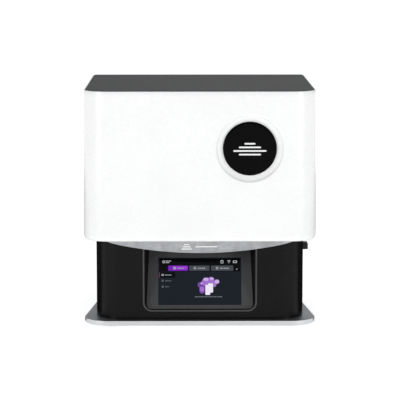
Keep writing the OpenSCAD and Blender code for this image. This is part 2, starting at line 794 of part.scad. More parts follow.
module linear_rails() {
    color(steel) for (side = [-1, 1])
        translate([side * rail_x - rail[0] / 2, column_front_y - rail[1], deck_top + 1])
            cube([rail[0], rail[1], column_h - 2]);
}

bearing_h = 10;

module screw_bearing() {
    inner = column_w - 2 * column_wall - 2 * seat;
    color(brushed) difference() {
        translate([-inner / 2, column_front_y, column_top - bearing_h])
            cube([inner, column_d - column_wall - seat, bearing_h]);
        translate([0, screw_y, column_top - bearing_h - eps])
            cylinder(r = screw_d / 2 + running, h = bearing_h + 2 * eps);
    }
}

motor = [42.3, 40];

module z_motor() {
    color(rubber_black) translate([0, screw_y, deck_low - motor[1]]) difference() {
        block([motor[0], motor[0], motor[1]]);
        translate([0, 0, motor[1] - 8]) cylinder(r = shaft_r + gap, h = 8 + eps);
    }
}

shaft_r = 2.5;
shaft_in = 6; // how far the shaft reaches into the motor
coupler_r = 9;
coupler_h = 13;
coupler_low = deck_low + 1;

module lead_screw() {
    color(steel) translate([0, screw_y, 0]) {
        translate([0, 0, coupler_low + coupler_h / 2])
            cylinder(r = screw_d / 2, h = column_top - 1 - coupler_low - coupler_h / 2);
        translate([0, 0, deck_low - shaft_in])
            cylinder(r = shaft_r, h = coupler_low + coupler_h / 2 - deck_low + shaft_in);
    }
}

module shaft_coupler() {
    color(brushed) translate([0, screw_y, coupler_low]) difference() {
        cylinder(r = coupler_r, h = coupler_h);
        translate([0, 0, -eps]) cylinder(r = shaft_r + running, h = coupler_h);
        translate([0, 0, coupler_h / 2]) cylinder(r = screw_d / 2 + running, h = coupler_h);
    }
}

// ---------- Z axis, moving pieces, drawn at the top of their travel ----------

film_t = 0.4;
ring_t = 2;
film_low = deck_top + gap + ring_t;
platform_low = film_low + film_t + gap + 0.2 + z_travel;
platform_top = platform_low + platform_t;
stem_base_t = 5;
neck_r = 10;
arm_t = 12;
arm_w = 44;
vat_low = film_low + film_t;
arm_over_vat = 2; // the arm clears the vat's rim by this much at the bottom of its travel
arm_low = max(platform_top + stem_base_t + gap, vat_low + vat_h + arm_over_vat + z_travel);
carriage = [22, 12, 36]; // size of one rail carriage
carriage_plate_t = 8;
carriage_low = arm_low - 30;
carriage_y = column_front_y - rail[1] - 6;
plate_back_y = carriage_y;
neck_y = vat_y;
arm_back_y = plate_back_y - carriage_plate_t;

module rail_carriages() {
    color(steel) for (side = [-1, 1]) difference() {
        translate([side * rail_x - carriage[0] / 2, carriage_y, carriage_low + 4])
            cube([carriage[0], carriage[1] - gap, carriage[2]]);
        translate([side * rail_x - rail[0] / 2 - gap, column_front_y - rail[1] - gap, carriage_low])
            cube([rail[0] + 2 * gap, rail[1] + 2 * gap, carriage[2] + 8]);
    }
}

plate_side = 10; // the carriage plate stands this far past the column's sides

module carriage_plate() {
    w = column_w + 2 * plate_side;
    color(brushed) translate([-w / 2, arm_back_y, carriage_low])
        cube([w, carriage_plate_t, carriage[2] + 8]);
}

nut = [26, 20, 22];

module screw_nut() {
    color(brass) difference() {
        union() {
            translate([-nut[0] / 2, plate_back_y, carriage_low + 12])
                cube([nut[0], screw_y - plate_back_y, nut[2]]);
            translate([0, screw_y, carriage_low + 12]) cylinder(r = nut[1] / 2 - 1, h = nut[2]);
        }
        translate([0, screw_y, carriage_low]) cylinder(r = screw_d / 2 + running, h = nut[2] + 24);
    }
}

gusset = [14, 24]; // reach and drop of the arm's gussets

module platform_arm() {
    front_y = neck_y - 16;
    color(brushed) difference() {
        union() {
            translate([-arm_w / 2, front_y, arm_low]) cube([arm_w, arm_back_y - front_y, arm_t]);
            // Gussets under the arm, short enough to pass behind the vat
            for (side = [-1, 1]) translate([side * (arm_w / 2 - 3) - 3, 0, 0]) rotate([90, 0, 90])
                linear_extrude(6) polygon([
                    [arm_back_y - gusset[0], arm_low + eps], [arm_back_y, arm_low + eps],
                    [arm_back_y, arm_low - gusset[1]]
                ]);
        }
        translate([0, neck_y, arm_low - eps]) cylinder(r = neck_r + gap, h = arm_t + 2 * eps);
        translate([-neck_r - gap, front_y - eps, arm_low - eps])
            cube([2 * (neck_r + gap), neck_y - front_y + eps, arm_t + 2 * eps]);
    }
}

sensor_z = carriage_low + 22;
sensor_x = column_w / 2 + 13;
flag_t = 1.5;
flag_h = 10;
slot_w = 4.5;

module limit_sensor() {
    color(black_satin) translate([column_w / 2, column_front_y + 4, sensor_z - 8]) difference() {
        cube([22, 12, 16]);
        // The slot is open below, so that the flag leaves it on the way down
        translate([sensor_x - column_w / 2 - slot_w / 2, -eps, -eps]) cube([slot_w, 8, 13]);
    }
}

module sensor_flag() {
    low = sensor_z - 7;
    side_x = column_w / 2 + plate_side;
    color(steel) {
        translate([sensor_x - flag_t / 2, arm_back_y, low])
            cube([flag_t, column_front_y + 8 - arm_back_y, flag_h]);
        translate([side_x, arm_back_y, low])
            cube([sensor_x + flag_t / 2 - side_x, carriage_plate_t, flag_h]);
    }
}

module build_platform() {
    color(brushed) translate([0, neck_y, platform_low]) difference() {
        block([platform_w, platform_d, platform_t]);
        // Shallow lightening pocket on each side of the stem
        for (side = [-1, 1]) translate([side * (platform_w / 4 + 10), 0, platform_t - 4])
            block([platform_w / 2 - 34, platform_d - 16, 4 + eps]);
    }
}

stem_base = [56, 40];
level_spots = [for (sx = [-1, 1]) for (sy = [-1, 1]) [sx * 21, sy * 13]];
stud_r = 4;
knob_r = 18;
knob_h = 16;
knob_low = arm_low + arm_t + gap;

module platform_stem() {
    color(steel) translate([0, neck_y, platform_top]) difference() {
        union() {
            block([stem_base[0], stem_base[1], stem_base_t]);
            cylinder(r = neck_r, h = arm_low + arm_t - platform_top);
            cylinder(r = stud_r, h = knob_low - platform_top + knob_h - 4);
        }
        for (p = level_spots) translate([p[0], p[1], -eps])
            cylinder(r = 2 + screw_clear, h = stem_base_t + 2 * eps);
    }
}

module levelling_screws() {
    color(steel) for (p = level_spots) translate([p[0], neck_y + p[1], platform_top]) difference() {
        cylinder(r = 2, h = stem_base_t - 0.5);
        translate([0, 0, stem_base_t - 2.5]) cylinder(r = 1.1, h = 3, $fn = 6);
    }
}

module platform_knob() {
    color(black_satin) translate([0, neck_y, knob_low]) difference() {
        hand_knob(knob_r, knob_h, 8);
        translate([0, 0, -eps]) cylinder(r = stud_r + running, h = knob_h - 4 + eps + gap);
    }
}

// ---------- vat ----------

ear_t = 8;
vat_knob_size = [11, 15]; // radius and height
film_bolt_r = 1.5;
film_bolts = [for (sx = [-1, 0, 1]) for (sy = [-1, 1])
    [sx * (vat_w / 2 - vat_wall / 2), sy * (vat_d / 2 - vat_wall / 2)]];

module vat_frame() {
    color([0.2, 0.2, 0.21]) difference() {
        union() {
            translate([0, vat_y, vat_low]) linear_extrude(vat_h) plan(vat_w, vat_d, 10, 10);
            translate([0, vat_y, vat_low]) block([vat_w + 2 * ear_w, 44, ear_t]);
            // Pouring lip and rim round the top edge
            translate([0, vat_y, vat_low + vat_h - 4]) linear_extrude(4) plan(vat_w + 6, vat_d + 6, 13, 13);
        }
        translate([0, vat_y, vat_low - eps]) linear_extrude(vat_h + 2 * eps) plan(vat_in_w, vat_in_d, 8, 8);
        for (side = [-1, 1]) translate([side * knob_x, vat_y, vat_low - eps])
            cylinder(r = knob_shank_r + running, h = ear_t + 2 * eps);
        for (p = film_bolts) translate([p[0], vat_y + p[1], vat_low - eps])
            cylinder(r = film_bolt_r + screw_clear, h = 8 + eps);
    }
}

module vat_film() {
    color([0.8, 0.85, 0.9, 0.5]) difference() {
        translate([0, vat_y, film_low]) block([vat_w - 1, vat_d - 1, film_t]);
        for (p = film_bolts) translate([p[0], vat_y + p[1], film_low - eps])
            cylinder(r = film_bolt_r + screw_clear, h = film_t + 2 * eps);
    }
}

module film_ring() {
    color(steel) difference() {
        translate([0, vat_y, film_low - ring_t]) block([vat_w, vat_d, ring_t]);
        translate([0, vat_y, film_low - ring_t - eps])
            block([vat_in_w - 2, vat_in_d - 2, ring_t + 2 * eps]);
        for (p = film_bolts) translate([p[0], vat_y + p[1], film_low - ring_t - eps])
            cylinder(r = film_bolt_r + screw_clear, h = ring_t + 2 * eps);
    }
}

module film_screws() {
    color(steel) for (p = film_bolts) translate([p[0], vat_y + p[1], film_low - ring_t + 0.1])
        cylinder(r = film_bolt_r, h = 8);
}

module vat_knob(side) {
    low = vat_low + ear_t + gap;
    shank_low = deck_top - knob_shank_deep + 1;
    color(black_satin) translate([side * knob_x, vat_y, 0]) {
        translate([0, 0, low]) hand_knob(vat_knob_size[0], vat_knob_size[1], 6);
        translate([0, 0, shank_low]) cylinder(r = knob_shank_r, h = low - shank_low + 1);
    }
}

module vat_knob_left() {
    vat_knob(-1);
}

module vat_knob_right() {
    vat_knob(1);
}

// ---------- hood ----------

badge_z = hood_z + badge_up;
dish_face_y = hood_front_y + badge_up * tan(hood_draft);
boss_r = dish_d / 2 + 4;

module hood_shell() {
    shell_top = hood_h - roof_t;
    color(white_gloss) difference() {
        union() {
            difference() {
                translate([0, 0, hood_z]) drafted(0, shell_top);
                translate([0, 0, hood_z - eps]) drafted(hood_wall, shell_top - hood_wall + eps);
            }
            // Boss behind the dish keeps the wall's thickness
            translate([badge_x, dish_face_y + 1.5, badge_z]) rod_y(boss_r, dish_deep + hood_wall - 1.5);
        }
        translate([badge_x, dish_face_y - 3, badge_z]) rod_y(dish_d / 2, dish_deep + 3);
    }
}

module roof_panel() {
    lean = 2 * (hood_h - roof_t) * tan(hood_draft);
    color(roof_grey) translate([0, 0, hood_z + hood_h - roof_t])
        linear_extrude(roof_t) plan(hood_w - lean, hood_d - lean, hood_front_r, hood_rear_r);
}

module badge_disc() {
    color(black_gloss) translate([badge_x, dish_face_y + dish_deep - badge_t, badge_z])
        rod_y(badge_d / 2, badge_t);
}

module hood_seal() {
    color(rubber_black) difference() {
        translate([0, 0, deck_top + gap]) linear_extrude(seal_t)
            plan(hood_w - 2 * hood_wall - 0.8, hood_d - 2 * hood_wall - 0.8, hood_front_r - hood_wall, 2.5);
        translate([0, 0, deck_top + gap - eps]) linear_extrude(seal_t + 2 * eps)
            plan(hood_w - 2 * (hood_wall + seal_reach), hood_d - 2 * (hood_wall + seal_reach),
                 hood_front_r - hood_wall - seal_reach, 2);
        for (side = [-1, 1]) translate([side * hinge_x, hood_rear_y, deck_top]) block([notch_w, 30, 20]);
    }
}

// ---------- the nodes ----------

base_plate();
rubber_feet();
base_shell();
rear_panel();
deck_plate();
front_apron();
screen_bezel();
touch_glass();
display_module();
hinge_brackets();
hinge_pins();
plate_screws();
deck_screws();
rear_panel_screws();
lcd_glass();
lcd_panel();
light_box();
lens_plate();
led_board();
heat_sink();
sink_fan_frame();
sink_fan_rotor();
exhaust_fan_frame();
exhaust_fan_rotor();
main_board();
power_supply();
power_inlet();
power_rocker();
ethernet_socket();
usb_socket();
usb_stick();
z_column();
linear_rails();
column_screws();
screw_bearing();
z_motor();
limit_sensor();
lead_screw();
shaft_coupler();
rail_carriages();
carriage_plate();
screw_nut();
platform_arm();
sensor_flag();
build_platform();
platform_stem();
levelling_screws();
platform_knob();
vat_frame();
vat_film();
film_ring();
film_screws();
vat_knob_left();
vat_knob_right();
hood_shell();
roof_panel();
badge_disc();
hood_seal();
hinge_leaves();
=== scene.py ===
import json
import math

import bmesh
import bpy
import numpy as np
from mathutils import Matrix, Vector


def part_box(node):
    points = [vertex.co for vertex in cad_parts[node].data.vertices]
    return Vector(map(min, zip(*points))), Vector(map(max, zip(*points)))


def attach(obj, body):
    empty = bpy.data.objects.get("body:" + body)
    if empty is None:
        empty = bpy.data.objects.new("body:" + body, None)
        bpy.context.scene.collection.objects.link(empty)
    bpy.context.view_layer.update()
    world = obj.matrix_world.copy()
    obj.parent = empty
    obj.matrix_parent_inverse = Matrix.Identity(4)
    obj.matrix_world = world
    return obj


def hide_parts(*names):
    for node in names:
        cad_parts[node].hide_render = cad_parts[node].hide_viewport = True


# Desktop resin printer: white hood on a rear hinge, black base with a tilted touch screen, and inside them
# the vat, the light engine and the Z axis. Sizes are in millimetres until a mesh is made, and the frame is
# in metres.
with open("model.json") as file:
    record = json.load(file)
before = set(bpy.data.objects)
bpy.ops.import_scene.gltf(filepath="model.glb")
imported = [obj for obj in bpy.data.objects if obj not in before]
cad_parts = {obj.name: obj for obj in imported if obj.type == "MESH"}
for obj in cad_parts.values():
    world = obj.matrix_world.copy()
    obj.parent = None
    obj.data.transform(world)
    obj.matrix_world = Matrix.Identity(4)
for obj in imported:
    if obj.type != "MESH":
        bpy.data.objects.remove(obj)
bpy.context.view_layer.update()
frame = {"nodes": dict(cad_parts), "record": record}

# ---------- The set ----------
# A white studio, lit by two tall softboxes in front and a wide one behind, on a pale floor that glows a
# little. The camera stands 2.4 m away with a long lens and looks slightly down.

camera_place, camera_pitch, camera_turn = (-0.0177, -2.446, 0.505), -8.35, -0.44
camera_data = bpy.data.cameras.new("camera")
camera_data.lens = 165
camera_data.sensor_width = 36
camera = bpy.data.objects.new("camera", camera_data)
camera.location = camera_place
camera.rotation_euler = (math.radians(90 + camera_pitch), 0, math.radians(camera_turn))
bpy.context.scene.collection.objects.link(camera)
bpy.context.scene.camera = camera
bpy.context.scene.view_settings.view_transform = "Standard"


def linear(hex_code):
    """Linear colour of an sRGB hex code: a channel c becomes c / 12.92 up to 0.04045, and above that
    ((c + 0.055) / 1.055) ^ 2.4."""
    c = np.array([int(hex_code[k:k + 2], 16) for k in (1, 3, 5)]) / 255
    return (*np.where(c <= 0.04045, c / 12.92, ((c + 0.055) / 1.055) ** 2.4), 1)


def add(tree, kind, values=None, links=None, **settings):
    """Adds a node: values go to its sockets, links are socket: (node, output), and settings go to the node
    itself."""
    made = tree.nodes.new(kind)
    for name, value in settings.items():
        setattr(made, name, value)
    for socket, value in (values or {}).items():
        made.inputs[socket].default_value = value
    for socket, (source, output) in (links or {}).items():
        tree.links.new(source.outputs[output], made.inputs[socket])
    return made


def aim(thing, target):
    """Turns a light so that its -Z looks from its place to target. Its tilt is the angle from straight up of
    back, the line from target to the light, and its turn is the bearing of back."""
    back = np.array(thing.location) - np.array(target)
    tilt = math.atan2(math.hypot(back[0], back[1]), back[2])
    thing.rotation_euler = (tilt, 0, math.atan2(back[0], -back[1]))


def laid(name, corners, material):
    """A flat sheet of the set, from its four corners in metres."""
    mesh = bpy.data.meshes.new(name)
    mesh.from_pydata(corners, [], [(0, 1, 2, 3)])
    mesh.materials.append(material)
    made = bpy.data.objects.new(name, mesh)
    bpy.context.scene.collection.objects.link(made)
    return made


# The camera sees a white room, and the object is lit by a dimmer one
room_light = 0.38
world = bpy.data.worlds.new("studio")
world.use_nodes = True
bpy.context.scene.world = world
world.node_tree.nodes.clear()
seen = add(world.node_tree, "ShaderNodeBackground", {"Color": linear("#ffffff"), "Strength": 1.0})
lit = add(world.node_tree, "ShaderNodeBackground", {"Color": linear("#fcfdff"), "Strength": room_light})
ray = add(world.node_tree, "ShaderNodeLightPath")
both = add(world.node_tree, "ShaderNodeMixShader", {}, {0: (ray, "Is Camera Ray"), 1: (lit, 0), 2: (seen, 0)})
add(world.node_tree, "ShaderNodeOutputWorld", {}, {"Surface": (both, 0)})

light_target = (0, 0, 0.16)
for name, place, size, watts in (
    ("softbox_left", (-1.75, -1.7, 0.85), (0.5, 1.6), 14.6),
    ("softbox_right", (1.75, -1.7, 0.85), (0.5, 1.6), 14.0),
    ("softbox_rear", (0.4, 2.4, 1.5), (1.8, 0.8), 4),
):
    lamp = bpy.data.lights.new(name, "AREA")
    lamp.shape = "RECTANGLE"
    lamp.size, lamp.size_y = size
    lamp.energy = watts
    stand = bpy.data.objects.new(name, lamp)
    stand.location = place
    bpy.context.scene.collection.objects.link(stand)
    aim(stand, light_target)

# Matt white paint that glows a little, so that the floor is as white as the room and takes only soft shadows
floor_paint = bpy.data.materials.new("white_floor_paint")
floor_paint.use_nodes = True
floor_paint.node_tree.nodes.clear()
paint = add(floor_paint.node_tree, "ShaderNodeBsdfPrincipled",
            {"Base Color": linear("#f2f2f2"), "Roughness": 0.9, "Specular IOR Level": 0.1,
             "Emission Color": linear("#ffffff"), "Emission Strength": 0.7})
add(floor_paint.node_tree, "ShaderNodeOutputMaterial", {}, {"Surface": (paint, 0)})
floor_half, floor_z = 30.0, -0.0002
floor = laid("floor", [(sx * floor_half, sy * floor_half, floor_z)
                       for sx, sy in ((-1, -1), (1, -1), (1, 1), (-1, 1))], floor_paint)

# Matt black card, which gives back next to nothing. Two pieces of it lie on the floor beside and behind the
# object, where only reflections see them, and keep the rounded ends of its black front dark.
card_stock = bpy.data.materials.new("black_card")
card_stock.use_nodes = True
card_stock.node_tree.nodes.clear()
card_face = add(card_stock.node_tree, "ShaderNodeBsdfPrincipled",
                {"Base Color": linear("#020202"), "Roughness": 1.0, "Specular IOR Level": 0.0})
add(card_stock.node_tree, "ShaderNodeOutputMaterial", {}, {"Surface": (card_face, 0)})
card_z, card_plan = 0.0004, ((0.135, -0.1), (1.2, 0.1), (1.2, 1.3), (0.135, 1.3))
for side in (-1, 1):
    card = laid("card", [(side * x, y, card_z) for x, y in card_plan], card_stock)
    card.visible_camera = card.visible_shadow = card.visible_diffuse = False

# ---------- Hood ----------
# Light-tight cover moulded in gloss white ABS, 3 mm thick, drafted half a degree, with a soft lower edge.
# A shallow dish with a coved side holds the badge on its front; the wall is thickened behind it.

mm_per_m = 1000


def box_mm(node):
    """Lowest and highest corner of a CAD node, in millimetres."""
    return [mm_per_m * np.array(corner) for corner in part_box(node)]


# One noise lies mostly between the first two values, and the sum of two between the last two
noise_low, noise_high, sum_low, sum_high = 0.3, 0.7, 0.7, 1.3


def finish(name, dark, light, grain, rough, relief, stretch=(1, 1, 1), patch=60, shader=None):
    """A surface from what it is made of. One noise has a grain of some mm, stretched, and another has patches
    of some mm. Colour runs between two hex codes with their sum. Roughness runs between rough's two values
    with the first, which also raises the surface by relief mm."""
    made = bpy.data.materials.new(name)
    made.use_nodes = True
    tree = made.node_tree
    tree.nodes.clear()
    place = add(tree, "ShaderNodeTexCoord")
    spread = [mm_per_m / (grain * s) for s in stretch]
    fitted = add(tree, "ShaderNodeMapping", {"Scale": spread}, {"Vector": (place, "Object")})
    fine = add(tree, "ShaderNodeTexNoise", {"Scale": 1, "Detail": 2.5}, {"Vector": (fitted, 0)})
    slow = add(tree, "ShaderNodeTexNoise", {"Scale": mm_per_m / patch, "Detail": 2},
               {"Vector": (place, "Object")})
    blend = add(tree, "ShaderNodeMath", {}, {0: (fine, 0), 1: (slow, 0)}, operation="ADD")
    share = add(tree, "ShaderNodeMapRange", {"From Min": sum_low, "From Max": sum_high},
                {"Value": (blend, 0)})
    colour = add(tree, "ShaderNodeMix", {6: linear(dark), 7: linear(light)}, {0: (share, 0)},
                 data_type="RGBA")
    gloss = add(tree, "ShaderNodeMapRange",
                {"From Min": noise_low, "From Max": noise_high, "To Min": rough[0], "To Max": rough[1]},
                {"Value": (fine, 0)})
    bump = add(tree, "ShaderNodeBump", {"Strength": 1.0, "Distance": relief / mm_per_m},
               {"Height": (fine, 0)})
    surface = add(tree, "ShaderNodeBsdfPrincipled", shader or {},
                  {"Base Color": (colour, 2), "Roughness": (gloss, 0), "Normal": (bump, 0)})
    add(tree, "ShaderNodeOutputMaterial", {}, {"Surface": (surface, 0)})
    return made


def outline(half_w, half_d, front_r, rear_r, inset=0.0, front_x=(), steps=20):
    """Rounded rectangle seen from above, anticlockwise: the points front_x along the front edge, then four
    corner arcs of steps parts. Inset draws the whole outline in, and takes the same off its radii."""
    w, d, least_r = half_w - inset, half_d - inset, 0.2
    parts = [np.array([(x, -d) for x in front_x]).reshape(-1, 2)]
    corners = ((1, -1, front_r, -90), (1, 1, rear_r, 0), (-1, 1, rear_r, 90), (-1, -1, front_r, 180))
    for sx, sy, radius, start in corners:
        r = max(radius - inset, least_r)
        turn = np.radians(start + np.linspace(0, 90, steps + 1))
        parts.append(np.column_stack([sx * (w - r) + r * np.cos(turn), sy * (d - r) + r * np.sin(turn)]))
    return np.concatenate(parts)


def ring_faces(rows, around):
    """Quads of a grid of rows rings with around points each, closed along the ring."""
    row, step = np.meshgrid(np.arange(rows - 1), np.arange(around), indexing="ij")
    ahead = (step + 1) % around
    return np.stack([row * around + step, row * around + ahead, (row + 1) * around + ahead,
                     (row + 1) * around + step], axis=-1)


def piece(name, shape, material, sharp=30):
    """An object from (points in mm, faces), its faces turned outwards and smooth up to the sharp angle."""
    points, faces = shape
    mesh = bpy.data.meshes.new(name)
    mesh.from_pydata((np.asarray(points) / mm_per_m).tolist(), [], faces)
    work = bmesh.new()
    work.from_mesh(mesh)
    bmesh.ops.recalc_face_normals(work, faces=work.faces)
    work.to_mesh(mesh)
    work.free()
    mesh.shade_smooth()
    mesh.set_sharp_from_angle(angle=math.radians(sharp))
    mesh.materials.append(material)
    made = bpy.data.objects.new(name, mesh)
    bpy.context.scene.collection.objects.link(made)
    return made


# Injection-moulded gloss white ABS: bright and even, with a faint orange-peel waviness a few millimetres wide
white_abs = finish("moulded_gloss_white_abs", "#f1f1f1", "#f6f6f6", 3.0, (0.20, 0.28), 0.004,
                   shader={"IOR": 1.53})

hood_low, hood_high = box_mm("hood_shell")
badge_low, badge_high = box_mm("badge_disc")
hood_half = (hood_high - hood_low) / 2
hood_front_r, hood_rear_r, hood_wall = 32, 6, 3
draft = math.tan(math.radians(0.5))
badge_x, badge_z = (badge_low[0] + badge_high[0]) / 2, (badge_low[2] + badge_high[2]) / 2
# A square window of cells in the front wall makes way for the dish, each edge of it split by equal angles
window, window_half = 28, 47.5
spread = window_half * np.tan(np.linspace(-math.pi / 4, math.pi / 4, window + 1))
window_x, window_z = badge_x + spread, badge_z + spread
side_x, belt_z = [-104, -70, -35], [125, 150]
front_x = np.concatenate([side_x, window_x])
# Quarter of an ellipse under the outer wall
lip = np.radians(np.linspace(0, 90, 9))
lip_in, lip_up = 4.2, 6.5
# The outer wall rises round the roof panel as a thin white rim, just short of its top
roof_low, roof_high = box_mm("roof_panel")
rim_top, rim_wide = roof_high[2] - 0.8, 1.5
# The wall's section, as (inset, height): under the roof, down inside, round the lip, up outside, over the rim
under_roof = [(8.0, hood_high[2] - 3), (5.2, hood_high[2] - 3), (3.9, hood_high[2] - 3.4),
              (3.2, hood_high[2] - 4.1)]
inner_rise = np.concatenate([[hood_high[2] - 5.2], window_z[::-1], belt_z[::-1], [hood_low[2] + 7]])
inner_lip = [(3.35, hood_low[2] + 4.4), (4.1, hood_low[2] + 2.2), (4.6, hood_low[2] + 0.6),
             (4.45, hood_low[2] + 0.1)]
outer_rise = np.concatenate([belt_z, window_z, [hood_high[2] - 4, rim_top - 0.8]])
hood_profile = np.concatenate([
    under_roof,
    [(hood_wall, z) for z in inner_rise],
    inner_lip,
    np.column_stack([lip_in * (1 - np.sin(lip)), hood_low[2] + lip_up * (1 - np.cos(lip))]),
    [(0, z) for z in outer_rise],
    [(0.25, rim_top - 0.25), (0.8, rim_top), (rim_wide - 0.1, rim_top), (rim_wide, rim_top - 0.2)],
    [(rim_wide, hood_high[2]), (4.0, hood_high[2])],
])
hood_rings = []
for inset, z in hood_profile:
    lean = draft * (z - hood_low[2])
    flat = outline(hood_half[0] - lean, hood_half[1] - lean, hood_front_r, hood_rear_r, inset, front_x)
    hood_rings.append(np.column_stack([flat, np.full(len(flat), z)]))
hood_rings = np.array(hood_rings)
rows, around = hood_rings.shape[:2]
cells = ring_faces(rows, around)
keep = np.ones((rows - 1, around), bool)
inner_row = len(under_roof) + 1
outer_row = len(under_roof) + len(inner_rise) + len(inner_lip) + len(lip) + len(belt_z)
first_column = len(side_x)

# The dish from its rim inwards, and the thickened wall behind it, as (radius, depth, share of the way from
# the leaning wall to upright)
cove = np.radians(np.linspace(8, 90, 9))
dish_deep, cove_deep, cove_in, cove_wide = 3.0, 0.1, 36.0, 6.7
dish_cove = np.column_stack([cove_in + cove_wide * np.cos(cove),
                             cove_deep + (dish_deep - cove_deep) * np.sin(cove),
                             np.linspace(0.35, 1, len(cove))])
dish = np.concatenate([
    [(44.4, 0, 0), (43.6, 0.03, 0.1), (43.1, 0.14, 0.2), (42.8, 0.34, 0.3)],
    dish_cove,
    [(30, dish_deep, 1)],
])
boss = np.array([(47.2, 0, 0), (46.8, 0.3, 0.3), (46.6, 2.6, 0.8), (46.1, 3.0, 1), (38, 3.0, 1)])

hood_points = [hood_rings.reshape(-1, 3)]
hood_faces = []
count = rows * around
span = np.arange(window)
for start, wall_in, turned_profile in ((outer_row, 0, dish), (inner_row, hood_wall, boss)):
    keep[start:start + window, first_column:first_column + window] = False
    edge = np.concatenate([
        start * around + first_column + span,
        (start + span) * around + first_column + window,
        (start + window) * around + first_column + window - span,
        (start + window - span) * around + first_column,
    ])
    border = hood_points[0][edge]
    bearing = np.arctan2(border[:, 2] - badge_z, border[:, 0] - badge_x)
    previous = edge
    upright_y = hood_low[1] + draft * (badge_z - hood_low[2]) + wall_in
    for radius, depth, upright in turned_profile:
        x, z = badge_x + radius * np.cos(bearing), badge_z + radius * np.sin(bearing)
        leaning_y = hood_low[1] + draft * (z - hood_low[2]) + wall_in
        y = leaning_y * (1 - upright) + upright_y * upright + depth
        hood_points.append(np.column_stack([x, y, z]))
        here = count + np.arange(len(edge))
        count += len(edge)
        hood_faces += np.column_stack([previous, np.roll(previous, -1), np.roll(here, -1), here]).tolist()
        previous = here
    hood_faces.append(previous.tolist())
hood_faces += cells[keep].tolist()
hood_faces += [list(range(around))[::-1], list(range((rows - 1) * around, rows * around))]
hood = piece("hood_cover", (np.concatenate(hood_points), hood_faces), white_abs, sharp=40)
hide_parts("hood_shell")
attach(hood, "hood")

# ---------- Roof panel ----------
# Dark grey panel of textured ABS, let into the top of the hood so that it stands just above the white rim
# round it. It is moulded with a soft top edge and glued to the shell.


def capped(rings):
    """A closed solid from rings (row, point, xyz): the quads between them and a flat face at each end."""
    rows, around = rings.shape[:2]
    faces = ring_faces(rows, around).reshape(-1, 4).tolist()
    faces += [list(range(around))[::-1], list(range((rows - 1) * around, rows * around))]
    return rings.reshape(-1, 3), faces


def lofted(profile, half, front_r, rear_r, centre=(0, 0), steps=20):
    """Rings of a rounded rectangle: each (inset, height) of the profile is the outline drawn in by inset, at
    that height."""
    rings = []
    for inset, z in profile:
        flat = outline(half[0], half[1], front_r, rear_r, inset, (), steps) + np.asarray(centre)
        rings.append(np.column_stack([flat, np.full(len(flat), z)]))
    return np.array(rings)


# Spark-eroded texture of a grey ABS panel: dull, with a grain drawn at 1.2 mm so that it shows
roof_abs = finish("textured_grey_abs", "#3e3f40", "#464748", 1.2, (0.5, 0.65), 0.05,
                  shader={"IOR": 1.5, "Specular IOR Level": 0.2})
roof_half = (roof_high - roof_low) / 2
roof_in = rim_wide + 0.2
roof_profile = [(6, roof_low[2]), (roof_in + 0.3, roof_low[2]), (roof_in, roof_low[2] + 0.3),
                (roof_in, roof_high[2] - 0.8), (roof_in + 0.15, roof_high[2] - 0.4),
                (roof_in + 0.5, roof_high[2] - 0.1), (roof_in + 1.1, roof_high[2]), (7, roof_high[2])]
roof_rings = lofted(roof_profile, roof_half, hood_front_r, hood_rear_r)
roof = piece("roof_cover", capped(roof_rings), roof_abs, sharp=50)
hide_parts("roof_panel")
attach(roof, "hood")

# ---------- Badge ----------
# Disc of cast black acrylic, polished and pressed into the dish. A plain mark of four stacked layers is
# screen-printed on it in white.


def joined(parts):
    """Several (points, faces) as one."""
    points, faces, count = [], [], 0
    for p, f in parts:
        points.append(np.asarray(p))
        faces += [[k + count for k in face] for face in f]
        count += len(p)
    return np.concatenate(points), faces


def turned(profile, centre, axis="Z", steps=64, lobes=0, wave=0.0):
    """Rings of a turned piece: each (radius, height) is a circle about the axis, its radius raised by wave
    times the cosine of lobes times the angle. Axis F points to the front, X to the right, Z up."""
    angle = np.linspace(0, 2 * math.pi, steps, endpoint=False)
    rings = []
    for radius, height in profile:
        r = radius + wave * np.cos(lobes * angle) * (radius > wave)
        u, v, h = r * np.cos(angle), r * np.sin(angle), np.full(steps, float(height))
        rings.append(np.column_stack({"Z": (u, v, h), "F": (u, -h, v), "X": (h, u, v)}[axis]))
    return np.array(rings) + np.asarray(centre)


# Cast acrylic, polished: deep black with a hard reflection, and hardly any waviness
acrylic = finish("polished_black_acrylic", "#030303", "#070707", 6, (0.08, 0.14), 0.001,
                 shader={"IOR": 1.49, "Specular IOR Level": 0.05})
badge_r, badge_t = (badge_high[0] - badge_low[0]) / 2, badge_high[1] - badge_low[1]
badge_profile = [(badge_r - 0.3, 0), (badge_r, 0.3), (badge_r, badge_t - 0.7),
                 (badge_r - 0.2, badge_t - 0.25), (badge_r - 0.7, badge_t), (badge_r - 3, badge_t)]
badge = piece("badge", capped(turned(badge_profile, (badge_x, badge_high[1], badge_z), "F", 128)), acrylic)
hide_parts("badge_disc")
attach(badge, "hood")

# Screen-printed white ink, a few hundredths thick: even and dull
white_ink = finish("screen_printed_white_ink", "#e6e6e6", "#f2f2f2", 0.8, (0.45, 0.6), 0.01)


def tile(x0, z0, x1, z1, radius, low, high):
    """Flat plate with rounded corners as (points, faces): x and z across its face, and from low to high out
    of it."""
    half = ((x1 - x0) / 2, (z1 - z0) / 2)
    rings = lofted([(0, low), (0, high)], half, radius, radius, ((x0 + x1) / 2, (z0 + z1) / 2), 5)
    return capped(rings)


def facing(shape, origin, tilt=0.0):
    """Stands a flat shape up to face the front: its x stays across, its y goes up and its z comes out, and it
    leans back by tilt degrees about its lower edge at origin."""
    points, faces = shape
    across, up, out = np.asarray(points).T
    c, s = math.cos(math.radians(tilt)), math.sin(math.radians(tilt))
    return np.column_stack([across, -out * c + up * s, out * s + up * c]) + np.asarray(origin), faces


